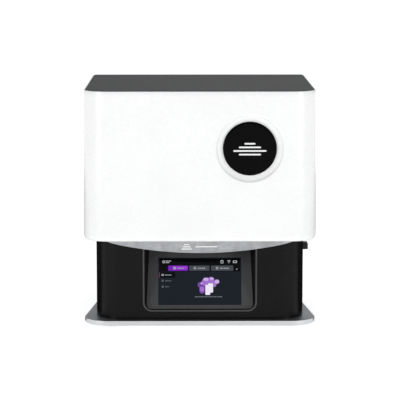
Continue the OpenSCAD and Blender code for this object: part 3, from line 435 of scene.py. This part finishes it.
bars = [(-14.0, -8.9, 14.0, -6.9), (-21.0, -4.3, 21.0, -2.3), (-14.0, 0.3, 14.0, 2.3), (-7.0, 4.9, 7.0, 6.9)]
bar_corner, bar_ink, mark_up = 1.0, 0.06, 0.5
mark = facing(joined([tile(*bar, bar_corner, 0.0, bar_ink) for bar in bars]),
              (badge_x, badge_low[1], badge_z + mark_up))
badge_mark = piece("badge_mark", mark, white_ink)
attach(badge_mark, "hood")

# ---------- Base body ----------
# Black satin ABS moulding with broad front corners and a U-shaped opening for the screen, closed behind by a
# panel of the same plastic that is screwed on.

body_of = {node: body for body, nodes in frame["record"]["behaviour"]["bodies"].items() for node in nodes}
doubles_apart, flat_angle, edge_angle = 2e-6, math.radians(0.8), math.radians(35)


def dressed(node, width, material, segments=3):
    """A copy of a CAD node with doubles merged, flat faces joined up, and every edge sharper than edge_angle
    rounded by width mm."""
    work = bmesh.new()
    work.from_mesh(frame["nodes"][node].data)
    bmesh.ops.remove_doubles(work, verts=work.verts, dist=doubles_apart)
    bmesh.ops.dissolve_limit(work, angle_limit=flat_angle, verts=work.verts, edges=work.edges)
    mesh = bpy.data.meshes.new(node + "_piece")
    work.to_mesh(mesh)
    work.free()
    mesh.shade_smooth()
    mesh.set_sharp_from_angle(angle=edge_angle)
    mesh.materials.clear()
    mesh.materials.append(material)
    made = bpy.data.objects.new(node + "_piece", mesh)
    bpy.context.scene.collection.objects.link(made)
    rounding = made.modifiers.new("rounding", "BEVEL")
    rounding.width = width / mm_per_m
    rounding.segments = segments
    rounding.limit_method = "ANGLE"
    rounding.angle_limit = edge_angle
    rounding.harden_normals = True
    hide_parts(node)
    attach(made, body_of[node])
    return made


# Moulded ABS with a fine spark texture: black satin, its grain drawn at 0.9 mm so that it shows
satin_abs = finish("moulded_black_satin_abs", "#0a0a0a", "#0f0f10", 0.9, (0.22, 0.30), 0.004,
                   shader={"IOR": 1.5, "Specular IOR Level": 0.11})
body = dressed("base_shell", 0.5, satin_abs)
rear = dressed("rear_panel", 0.4, satin_abs, 2)

# ---------- Foot plate and feet ----------
# 6 mm aluminium plate, brushed across its width and left bare, its edge trimmed by a cutter, and screwed to
# the base from below. Four moulded rubber feet are fixed under its corners.


def second_finish(made, material, chosen):
    """Gives a piece another material on the faces where chosen, a function of all their normals, is true."""
    made.data.materials.append(material)
    normals = np.array([face.normal for face in made.data.polygons])
    made.data.polygons.foreach_set("material_index", chosen(normals).astype(np.int32))


# Brushed bare aluminium: streaks along X, drawn 1.1 mm apart so that they show, and some 33 mm long
brushed = finish("brushed_aluminium", "#989a9c", "#bcbec0", 1.1, (0.32, 0.48), 0.008, (30, 1, 1), 25,
                 shader={"Metallic": 1.0})
# The same plate where a cutter has run round its edge, with streaks that follow the edge. Its brighter colour
# is painted reflection, for the bright light that the edges catch
cut_edge_and_painted_reflection = finish("cut_aluminium_with_painted_reflection", "#c9cacb", "#d3d4d5", 0.5, (0.28, 0.33), 0.001, (20, 20, 1),
                  shader={"Metallic": 1.0})
plate = dressed("base_plate", 0.9, brushed)
# Faces count as upright when their normals lie within 30 degrees of level
steep = 0.5
# The upright faces take the cut finish and its painted reflection
second_finish(plate, cut_edge_and_painted_reflection, lambda normals: np.abs(normals[:, 2]) < steep)

# Moulded nitrile rubber: dead black, slightly dusty
rubber = finish("moulded_rubber", "#121212", "#1c1c1c", 0.8, (0.7, 0.9), 0.02)
foot_low, foot_high = box_mm("rubber_feet")
foot_r, foot_h = 11, foot_high[2] - foot_low[2]
foot_x, foot_y = foot_high[0] - foot_r, foot_high[1] - foot_r
foot_profile = [(3, 0.6), (6.5, 0.6), (7, 0), (foot_r - 1, 0), (foot_r - 0.3, 0.3), (foot_r, 0.9),
                (foot_r, foot_h), (foot_r - 1, foot_h)]
feet = [capped(turned(foot_profile, (sx * foot_x, sy * foot_y, 0), steps=48))
        for sx in (-1, 1) for sy in (-1, 1)]
foot_pads = piece("foot_pads", joined(feet), rubber)
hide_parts("rubber_feet")
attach(foot_pads, "base")

# ---------- Apron and deck ----------
# Brushed aluminium strip bent round the front under the hood, its lower edge cut to a long arc and polished,
# with a painted highlight along it, and the 5 mm aluminium deck that carries the vat and the column.

# The strip is brushed more finely, with streaks of a centimetre: paler and more even than the plate
fine_brushed = finish("fine_brushed_aluminium", "#9c9ea0", "#b8babc", 0.8, (0.40, 0.46), 0.002, (14, 1, 1), 9,
                      shader={"Metallic": 1.0})
apron = dressed("front_apron", 0.35, fine_brushed, 2)
# Its downward faces take the brighter cut finish, a painted highlight along the lower edge
second_finish(apron, cut_edge_and_painted_reflection, lambda normals: normals[:, 2] < -steep)
# Three short lines and a long one are printed on it, mark_down of the way from the hood to its lowest point
apron_low, mark_down = box_mm("front_apron")[0], 0.48
mark_z = hood_low[2] - mark_down * (hood_low[2] - apron_low[2])
line_corner, line_ink = 0.5, 0.05
lines = [(-20.5, 2.2, -13.5, 3.6), (-22, -0.7, -12, 0.7), (-23.5, -3.6, -10.5, -2.2), (-6, -0.6, 22, 0.6)]
strip_mark = facing(joined([tile(*line, line_corner, 0.0, line_ink) for line in lines]),
                    (0, apron_low[1], mark_z))
apron_mark = piece("apron_mark", strip_mark, white_ink)
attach(apron_mark, "base")
deck = dressed("deck_plate", 0.4, brushed, 2)

# ---------- Screen bezel ----------
# Dark grey ABS frame that lines the opening, moulded in one: a raised rim, slanted sides and a panel tilted
# back 22 degrees, held by two black screws beside the glass.

# Moulded dark grey ABS, finely textured: dull, with a soft broad highlight
bezel_abs = finish("moulded_dark_grey_abs", "#424243", "#4b4b4c", 0.9, (0.36, 0.48), 0.008,
                   shader={"IOR": 1.5, "Specular IOR Level": 0.16})
# Its slanted sides are the same ABS, drawn near black and a little glossier: the near black is painted shade,
# for the shadow that falls on the pocket's walls
bezel_side_painted_shade = finish("bezel_sides_with_painted_shade", "#070707", "#0b0b0b", 1.5, (0.3, 0.4), 0.003,
                  shader={"IOR": 1.5, "Specular IOR Level": 0.12})
bezel = dressed("screen_bezel", 0.6, bezel_abs)
# Faces that look to the front, as the rim and the panel do, have more than this share of their normals there
facing_front = 0.85
# The faces that look away from the front, the slanted sides, take the painted shade
second_finish(bezel, bezel_side_painted_shade, lambda normals: -normals[:, 1] < facing_front)

# The panel's lower edge, from which places on it are measured
body_low, body_high = box_mm("base_shell")
bezel_low = box_mm("screen_bezel")[0]
panel_tilt, panel_in, panel_up = 22, 2, 3.1
panel_origin = np.array([0, body_low[1] + panel_in, bezel_low[2] + panel_up])
# Steel with a black zinc finish: dark grey with a dull sheen
black_zinc = finish("black_zinc_screw", "#434344", "#4e4e4f", 0.6, (0.4, 0.55), 0.004,
                    shader={"Metallic": 0.6})
head_x, head_up = 63.0, 3.0
head_profile = [(1.5, -0.4), (1.5, 0.25), (1.25, 0.5), (0.75, 0.5), (0.7, 0.1)]
screws = [capped(turned(head_profile, (x, head_up, 0), steps=24)) for x in (-head_x, head_x)]
bezel_screws = piece("bezel_screws", facing(joined(screws), panel_origin, panel_tilt), black_zinc)
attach(bezel_screws, "base")

# ---------- Touch screen ----------
# Toughened cover glass bonded flush into the panel, over a lit colour display in a plastic back cover. The
# display shows a plain menu: bars, tabs, dashes for words and a pictogram.

# Toughened glass over a lit display: near black with a slight blue, hard and smooth
cover_glass = finish("touch_screen_glass", "#0b0e13", "#0d1117", 8, (0.06, 0.10), 0.0005,
                     shader={"IOR": 1.5, "Specular IOR Level": 0.14, "Emission Color": linear("#1c222b"),
                             "Emission Strength": 0.55})
glass_width, glass_height, glass_up, glass_deep, glass_back = 107, 62, 5.2, 2.7, -3.0
glass_half = (glass_width / 2, glass_height / 2)
glass_profile = [(0.3, 0), (0, 0.3), (0, glass_deep - 0.3), (0.3, glass_deep), (2, glass_deep)]
slab = lofted(glass_profile, glass_half, 0.8, 0.8, (0, glass_up + glass_height / 2), 6)
slab[:, :, 2] += glass_back
glass = piece("touch_screen", facing(capped(slab), panel_origin, panel_tilt), cover_glass)
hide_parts("touch_glass")
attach(glass, "base")

# The picture is a stack of thin layers on the glass; each colour is glass that glows in its own tone
first_layer, layer_t = -0.3, 0.02


def lit_tiles(name, tone, boxes, layer=1, glow=0.9):
    """Lit shapes on the display: each (u0, v0, u1, v1, corner) is in shares of its width and height, with v
    downwards and its corner in mm, and a higher layer lies on a lower one."""
    lit = finish("display_" + name, "#060608", "#08080a", 3, (0.1, 0.16), 0.0005,
                 shader={"Emission Color": linear(tone), "Emission Strength": glow,
                         "Specular IOR Level": 0.14})
    low = first_layer + layer_t * (layer - 1)
    shapes = []
    for u0, v0, u1, v1, corner in boxes:
        x0, x1 = (u0 - 0.5) * glass_width, (u1 - 0.5) * glass_width
        z0, z1 = glass_up + (1 - v1) * glass_height, glass_up + (1 - v0) * glass_height
        shapes.append(tile(x0, z0, x1, z1, corner, low, low + layer_t))
    made = piece("display_" + name, facing(joined(shapes), panel_origin, panel_tilt), lit)
    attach(made, "base")
    return made


lit_tiles("header", "#020203", [(0.008, 0.012, 0.992, 0.294, 0.5), (0.008, 0.302, 0.205, 0.425, 0.3)], 1, 0.2)
lit_tiles("tab_active", "#7420b4", [(0.117, 0.165, 0.357, 0.277, 1.0)], 2, 1.0)
lit_tiles("tab_bright", "#9b3fd4", [(0.17, 0.18, 0.350, 0.245, 0.8)], 3, 0.9)
lit_tiles("tabs", "#474c52", [(0.373, 0.165, 0.618, 0.277, 1.0), (0.636, 0.165, 0.906, 0.277, 1.0)], 2, 0.9)
lit_tiles("marker", "#8a3a80", [(0.008, 0.31, 0.016, 0.42, 0.3)], 2, 0.8)
# Icons are a light shape with a darker one inside it, and words are rows of dashes
icons = [(0.048, 0.055, 0.075, 0.115, 1.2), (0.085, 0.058, 0.115, 0.075, 0.3),
         (0.12, 0.058, 0.15, 0.075, 0.3), (0.085, 0.092, 0.13, 0.109, 0.3), (0.752, 0.05, 0.787, 0.12, 1.2),
         (0.835, 0.055, 0.872, 0.07, 0.4), (0.843, 0.08, 0.864, 0.095, 0.4),
         (0.850, 0.103, 0.857, 0.115, 0.2), (0.902, 0.058, 0.952, 0.112, 1.0),
         (0.943, 0.232, 0.955, 0.252, 0.3)]
lit_tiles("icons", "#c9ccd0", icons, 2, 0.75)
hollows = [(0.056, 0.07, 0.067, 0.10, 0.4), (0.760, 0.066, 0.779, 0.108, 0.6),
           (0.911, 0.072, 0.943, 0.098, 0.5)]
lit_tiles("icon_hollows", "#020203", hollows, 3, 0.2)
dash_gap, dash_corner = 0.006, 0.25


def dashes(u, v, end, height, lengths=(0.022, 0.012, 0.017, 0.026, 0.010)):
    """A line of dashes from u to end, standing in for a word: each is height tall and takes the next of
    lengths, and dash_gap lies between them."""
    boxes, k = [], 0
    while u < end:
        stop = min(u + lengths[k % len(lengths)], end)
        boxes.append((u, v, stop, v + height, dash_corner))
        u, k = stop + dash_gap, k + 1
    return boxes


labels = [(0.18, 0.192, 0.21, 0.248, 0.6), (0.425, 0.192, 0.455, 0.248, 1.4),
          (0.695, 0.192, 0.725, 0.248, 1.4), (0.036, 0.345, 0.065, 0.383, 0.6)]
for u, end in ((0.235, 0.31), (0.475, 0.565), (0.745, 0.855)):
    labels += dashes(u, 0.212, end, 0.024)
labels += dashes(0.08, 0.356, 0.155, 0.02)
lit_tiles("labels", "#b9bdc3", labels, 4, 0.7)
label_hollows = [(0.433, 0.207, 0.447, 0.233, 0.7), (0.703, 0.207, 0.717, 0.233, 0.7)]
lit_tiles("label_hollows", "#54595f", label_hollows, 5, 0.8)
menu = [(0.038, 0.465, 0.062, 0.508, 0.9), (0.04, 0.592, 0.062, 0.634, 0.6)]
menu += dashes(0.08, 0.479, 0.155, 0.02) + dashes(0.08, 0.605, 0.13, 0.02)
lit_tiles("menu", "#757b83", menu, 2, 0.7)
lit_tiles("menu_hollows", "#1c222b", [(0.045, 0.477, 0.055, 0.496, 0.5)], 3, 0.8)
lit_tiles("caption", "#7f858d", dashes(0.44, 0.818, 0.775, 0.022), 2, 0.7)
cloud = [(0.495, 0.50, 0.56, 0.765, 4.0), (0.475, 0.52, 0.53, 0.63, 2.6), (0.52, 0.455, 0.60, 0.60, 3.8)]
lit_tiles("cloud", "#7c48b0", cloud, 2, 0.9)
puffs = [(0.53, 0.425, 0.625, 0.60, 4.2), (0.50, 0.615, 0.552, 0.72, 2.4), (0.60, 0.41, 0.675, 0.54, 3.4),
         (0.645, 0.50, 0.70, 0.62, 2.6)]
lit_tiles("cloud_puffs", "#a877d4", puffs, 3, 0.9)
crests = [(0.545, 0.425, 0.605, 0.49, 1.9), (0.625, 0.42, 0.665, 0.47, 1.4), (0.68, 0.465, 0.735, 0.55, 2.4),
          (0.51, 0.525, 0.535, 0.565, 1.1)]
lit_tiles("cloud_crests", "#d3b6ee", crests, 4, 0.9)
lit_tiles("block", "#f2ecfa", [(0.567, 0.575, 0.625, 0.79, 1.2), (0.60, 0.545, 0.66, 0.74, 1.2)], 5, 0.95)
back_cover = dressed("display_module", 0.3, satin_abs, 2)

# ---------- Memory stick and its socket ----------
# Small memory stick standing out of the port in the right-hand side: a moulded nylon cap on a folded steel
# plug. The socket that it slides into is folded steel too.


def sideways(rings, start_x):
    """Lays rings on their side round the stick's axis: their height runs along X from start_x, their x along
    Y and their y along Z."""
    return np.stack([rings[:, :, 2] + start_x, rings[:, :, 0] + stick_middle[0],
                     rings[:, :, 1] + stick_middle[1]], axis=-1)


stick_low, stick_high = box_mm("usb_stick")
stick_half = (stick_high - stick_low)[1:] / 2
stick_middle = (stick_low + stick_high)[1:] / 2
stick_gap, plug_half, plug_long = 0.3, (6, 2.25), 12.3
stick_face = body_high[0] + stick_gap
cap_long = stick_high[0] - stick_face
cap_profile = [(1.0, 0), (0.2, 0), (0, 0.4), (0, 9.2), (0.35, 9.5), (0.35, 9.9), (0, 10.2),
               (0, cap_long - 1.0), (0.4, cap_long - 0.3), (1.1, cap_long), (2, cap_long)]
cap = sideways(lofted(cap_profile, stick_half, 1.6, 1.6, (0, 0), 6), stick_face)
plug_profile = [(0.4, 0), (0, 0.4), (0, plug_long), (0.5, plug_long)]
plug = sideways(lofted(plug_profile, plug_half, 0.5, 0.5, (0, 0), 4), stick_low[0])
# Zinc-plated steel: mid grey and bright, with a slight cloud
zinc = finish("zinc_plated_steel", "#8f9193", "#a7a9ab", 0.6, (0.25, 0.4), 0.004, shader={"Metallic": 1.0})
# Moulded black nylon: satin, with a fine grain
nylon = finish("moulded_black_nylon", "#0c0c0d", "#151516", 0.9, (0.35, 0.5), 0.01)
stick = piece("memory_stick", capped(cap), nylon)
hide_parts("usb_stick")
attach(stick, "usb_stick")
stick_plug = piece("memory_stick_plug", capped(plug), zinc)
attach(stick_plug, "usb_stick")
port = dressed("usb_socket", 0.2, zinc, 2)

# ---------- Light engine ----------
# Stacked under the deck, from the top down: masked LCD on a glass, machined reflector box, acrylic lens, LED
# board, finned aluminium heat sink and its moulded fan.

# Polished glass over the black mask panel: near black, with hard reflections
mask_glass = finish("mask_glass", "#07090c", "#0a0d12", 10, (0.03, 0.07), 0.0005, shader={"IOR": 1.52})
# Moulded clear acrylic: colourless and glossy
lens_acrylic = finish("clear_lens_acrylic", "#dfe5e8", "#eef2f4", 5, (0.05, 0.1), 0.002,
                      shader={"Transmission Weight": 0.8, "IOR": 1.49})
# White solder mask of the LED board: even and half glossy
led_white = finish("white_solder_mask", "#dcdcd8", "#ebebe8", 1.5, (0.35, 0.5), 0.004)
# Extruded and machined aluminium, not polished: fine marks of the cutter
machined = finish("machined_aluminium", "#9d9fa1", "#b9bbbd", 0.8, (0.28, 0.42), 0.006, (1, 14, 1),
                  shader={"Metallic": 1.0})
for node, width, material, slot in (
    ("lcd_glass", 0.4, mask_glass, "mask_glass"),
    ("lcd_panel", 0.3, mask_glass, "mask_glass"),
    ("light_box", 0.4, machined, "machined_aluminium"),
    ("lens_plate", 0.3, lens_acrylic, "clear_lens"),
    ("led_board", 0.2, led_white, "led_white"),
    ("heat_sink", 0.3, machined, "machined_aluminium"),
    ("sink_fan_frame", 0.4, nylon, "black_plastic"),
    ("sink_fan_rotor", 0.2, nylon, "black_plastic"),
):
    dressed(node, width, material, 2)

# ---------- Electronics and the rear ports ----------
# Printed circuit board on posts, power supply in a folded steel box, exhaust fan of moulded nylon, and the
# ports set into the rear panel.

# Green solder mask over copper, mottled by the tracks under it
solder_mask = finish("green_solder_mask", "#0c3a22", "#14502f", 1.6, (0.25, 0.4), 0.02, (3, 1, 1), patch=9)
for node, width, material, slot in (
    ("main_board", 0.15, solder_mask, "circuit_board"),
    ("power_supply", 0.4, zinc, "zinc_steel"),
    ("power_inlet", 0.4, nylon, "black_plastic"),
    ("ethernet_socket", 0.3, zinc, "zinc_steel"),
    ("exhaust_fan_frame", 0.4, nylon, "black_plastic"),
    ("exhaust_fan_rotor", 0.2, nylon, "black_plastic"),
    ("power_rocker", 0.5, nylon, "black_plastic"),
):
    dressed(node, width, material, 2)

# ---------- Screws, hinges and seal ----------
# Zinc-plated cap screws, folded steel hinges on turned pins behind the hood, and the foam strip that is glued
# round its inside to keep light in.

# Turned steel, left bright
steel = finish("bright_turned_steel", "#9fa1a3", "#b5b7b9", 0.5, (0.2, 0.34), 0.004, shader={"Metallic": 1.0})
# Closed-cell foam: black, dead matt and finely pitted
foam = finish("closed_cell_foam", "#141414", "#1f1f20", 0.7, (0.8, 0.95), 0.08)
for node, width, material, slot in (
    ("plate_screws", 0.25, zinc, "zinc_steel"),
    ("deck_screws", 0.25, zinc, "zinc_steel"),
    ("rear_panel_screws", 0.2, zinc, "zinc_steel"),
    ("column_screws", 0.25, zinc, "zinc_steel"),
    ("levelling_screws", 0.15, zinc, "zinc_steel"),
    ("film_screws", 0.15, zinc, "zinc_steel"),
    ("hinge_brackets", 0.3, zinc, "zinc_steel"),
    ("hinge_leaves", 0.3, zinc, "zinc_steel"),
    ("hinge_pins", 0.3, steel, "steel"),
    ("hood_seal", 0.5, foam, "foam_seal"),
):
    dressed(node, width, material, 2)

# ---------- Z axis, fixed ----------
# Extruded column, anodised black, with two ground rails screwed to it, a bearing block at the top, and the
# stepper motor and its coupler below.

# Hard black anodising on bead-blasted aluminium: very dark grey with a soft metal sheen
anodised = finish("black_anodised_aluminium", "#17181a", "#212224", 0.7, (0.34, 0.46), 0.012,
                  shader={"Metallic": 0.7})
for node, width, material, slot in (
    ("z_column", 0.8, anodised, "black_anodised"),
    ("linear_rails", 0.4, steel, "steel"),
    ("screw_bearing", 0.4, machined, "machined_aluminium"),
    ("z_motor", 0.6, anodised, "black_anodised"),
    ("limit_sensor", 0.3, nylon, "black_plastic"),
    ("shaft_coupler", 0.5, machined, "machined_aluminium"),
):
    dressed(node, width, material, 2)

# ---------- Lead screw ----------
# 8 mm trapezoidal screw, rolled in steel with four right-hand starts, so 8 mm of travel a turn. It turns in
# the bearing block and is held below by the coupler.

screw_low, screw_high = box_mm("lead_screw")
coupler_low, coupler_high = box_mm("shaft_coupler")
screw_centre = (screw_low + screw_high) / 2
thread_low = (coupler_low[2] + coupler_high[2]) / 2
lead, starts, thread_deep, outer_r = 8.0, 4, 0.9, (screw_high[0] - screw_low[0]) / 2
screw_steps, ring_apart = 40, 0.22
turn = np.linspace(0, 2 * math.pi, screw_steps, endpoint=False)
rise = np.arange(thread_low, screw_high[2] - 1.0, ring_apart)
# How far round a thread each point is, and its flank: 0 in the groove, 1 on the crest, sloping between
phase = (rise[:, None] / lead - turn[None, :] / (2 * math.pi)) * starts
flank = np.clip(np.abs((phase % 1) - 0.5) * 4 - 0.5, 0, 1)
thread_r = outer_r - thread_deep * (1 - flank)
thread = np.stack([thread_r * np.cos(turn), thread_r * np.sin(turn),
                   np.repeat(rise[:, None], screw_steps, 1)], axis=-1)
plain = turned([(2.3, screw_low[2]), (2.5, screw_low[2] + 0.3), (2.5, thread_low - 0.01)], (0, 0, 0),
               steps=screw_steps)
tip = turned([(outer_r - thread_deep, rise[-1] + 0.2), (outer_r - 1.4, screw_high[2])], (0, 0, 0),
             steps=screw_steps)
screw_rings = np.concatenate([plain, thread, tip]) + np.array([screw_centre[0], screw_centre[1], 0])
screw = piece("lead_screw_threaded", capped(screw_rings), steel, sharp=55)
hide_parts("lead_screw")
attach(screw, "lead_screw")

# ---------- Z axis, moving, and the build platform ----------
# Ball carriages, brass nut and bead-blasted aluminium arm, screwed together. The platform hangs in the arm's
# fork on a steel stem and is clamped by a lobed knob.

# Free-cutting brass, turned: yellow and bright
brass = finish("turned_brass", "#b08d45", "#c9a55a", 0.6, (0.22, 0.36), 0.004, shader={"Metallic": 1.0})
# Bead-blasted and clear anodised aluminium: even, pale and dull
blasted = finish("bead_blasted_aluminium", "#a2a4a6", "#b4b6b8", 0.6, (0.42, 0.56), 0.02,
                 shader={"Metallic": 1.0})
for node, width, material, slot in (
    ("rail_carriages", 0.5, steel, "steel"),
    ("carriage_plate", 0.7, blasted, "machined_aluminium"),
    ("screw_nut", 0.4, brass, "brass"),
    ("platform_arm", 0.8, blasted, "machined_aluminium"),
    ("sensor_flag", 0.2, zinc, "zinc_steel"),
    ("build_platform", 0.8, blasted, "machined_aluminium"),
    ("platform_stem", 0.4, steel, "steel"),
):
    dressed(node, width, material, 3)


def lobed_knob(radius, height, lobes, low, centre):
    """A hand knob as a solid: turned with a wavy side, a soft shoulder and a shallow dish in its top."""
    wave, top = 0.9, low + height
    profile = [(radius - 4, low), (radius - 1.2, low), (radius - wave, low + 0.6),
               (radius - wave, low + height * 0.62), (radius - 1.2, low + height * 0.8),
               (radius - 2.2, low + height * 0.93), (radius - 3.8, top), (radius - 5.4, top),
               (radius - 6.2, top - 0.7), (2.4, top - 1.0)]
    return capped(turned(profile, (centre[0], centre[1], 0), steps=96, lobes=lobes, wave=wave))


knob_low, knob_high = box_mm("platform_knob")
knob_r = (knob_high[0] - knob_low[0]) / 2
knob_centre = (knob_low + knob_high) / 2
knob_shape = lobed_knob(knob_r, knob_high[2] - knob_low[2], 8, knob_low[2], knob_centre)
clamp = piece("platform_clamp_knob", knob_shape, nylon)
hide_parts("platform_knob")
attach(clamp, "platform_knob")

# ---------- Vat ----------
# Aluminium frame, anodised black, with a release film held under it by a steel ring and its screws. Two
# lobed nylon knobs on its ears hold it down on the deck.

# Release film: thin, clear and slightly milky
film = finish("clear_release_film", "#cfd8de", "#dde5ea", 12, (0.08, 0.16), 0.01,
              shader={"Alpha": 0.55, "IOR": 1.35, "Transmission Weight": 0.3})
for node, width, material, slot in (
    ("vat_frame", 0.8, anodised, "black_anodised"),
    ("vat_film", 0.1, film, "clear_film"),
    ("film_ring", 0.3, steel, "steel"),
):
    dressed(node, width, material, 2)
knob_height, shank_r = 15, 3
for side in ("left", "right"):
    node = "vat_knob_" + side
    low, high = box_mm(node)
    middle = (low + high) / 2
    knob = lobed_knob((high[0] - low[0]) / 2, knob_height, 6, high[2] - knob_height, middle)
    shank_profile = [(shank_r - 0.5, low[2]), (shank_r, low[2] + 0.5), (shank_r, high[2] - knob_height + 1)]
    shank = capped(turned(shank_profile, (middle[0], middle[1], 0), steps=32))
    made = piece(node + "_piece", joined([knob, shank]), nylon)
    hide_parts(node)
    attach(made, node)
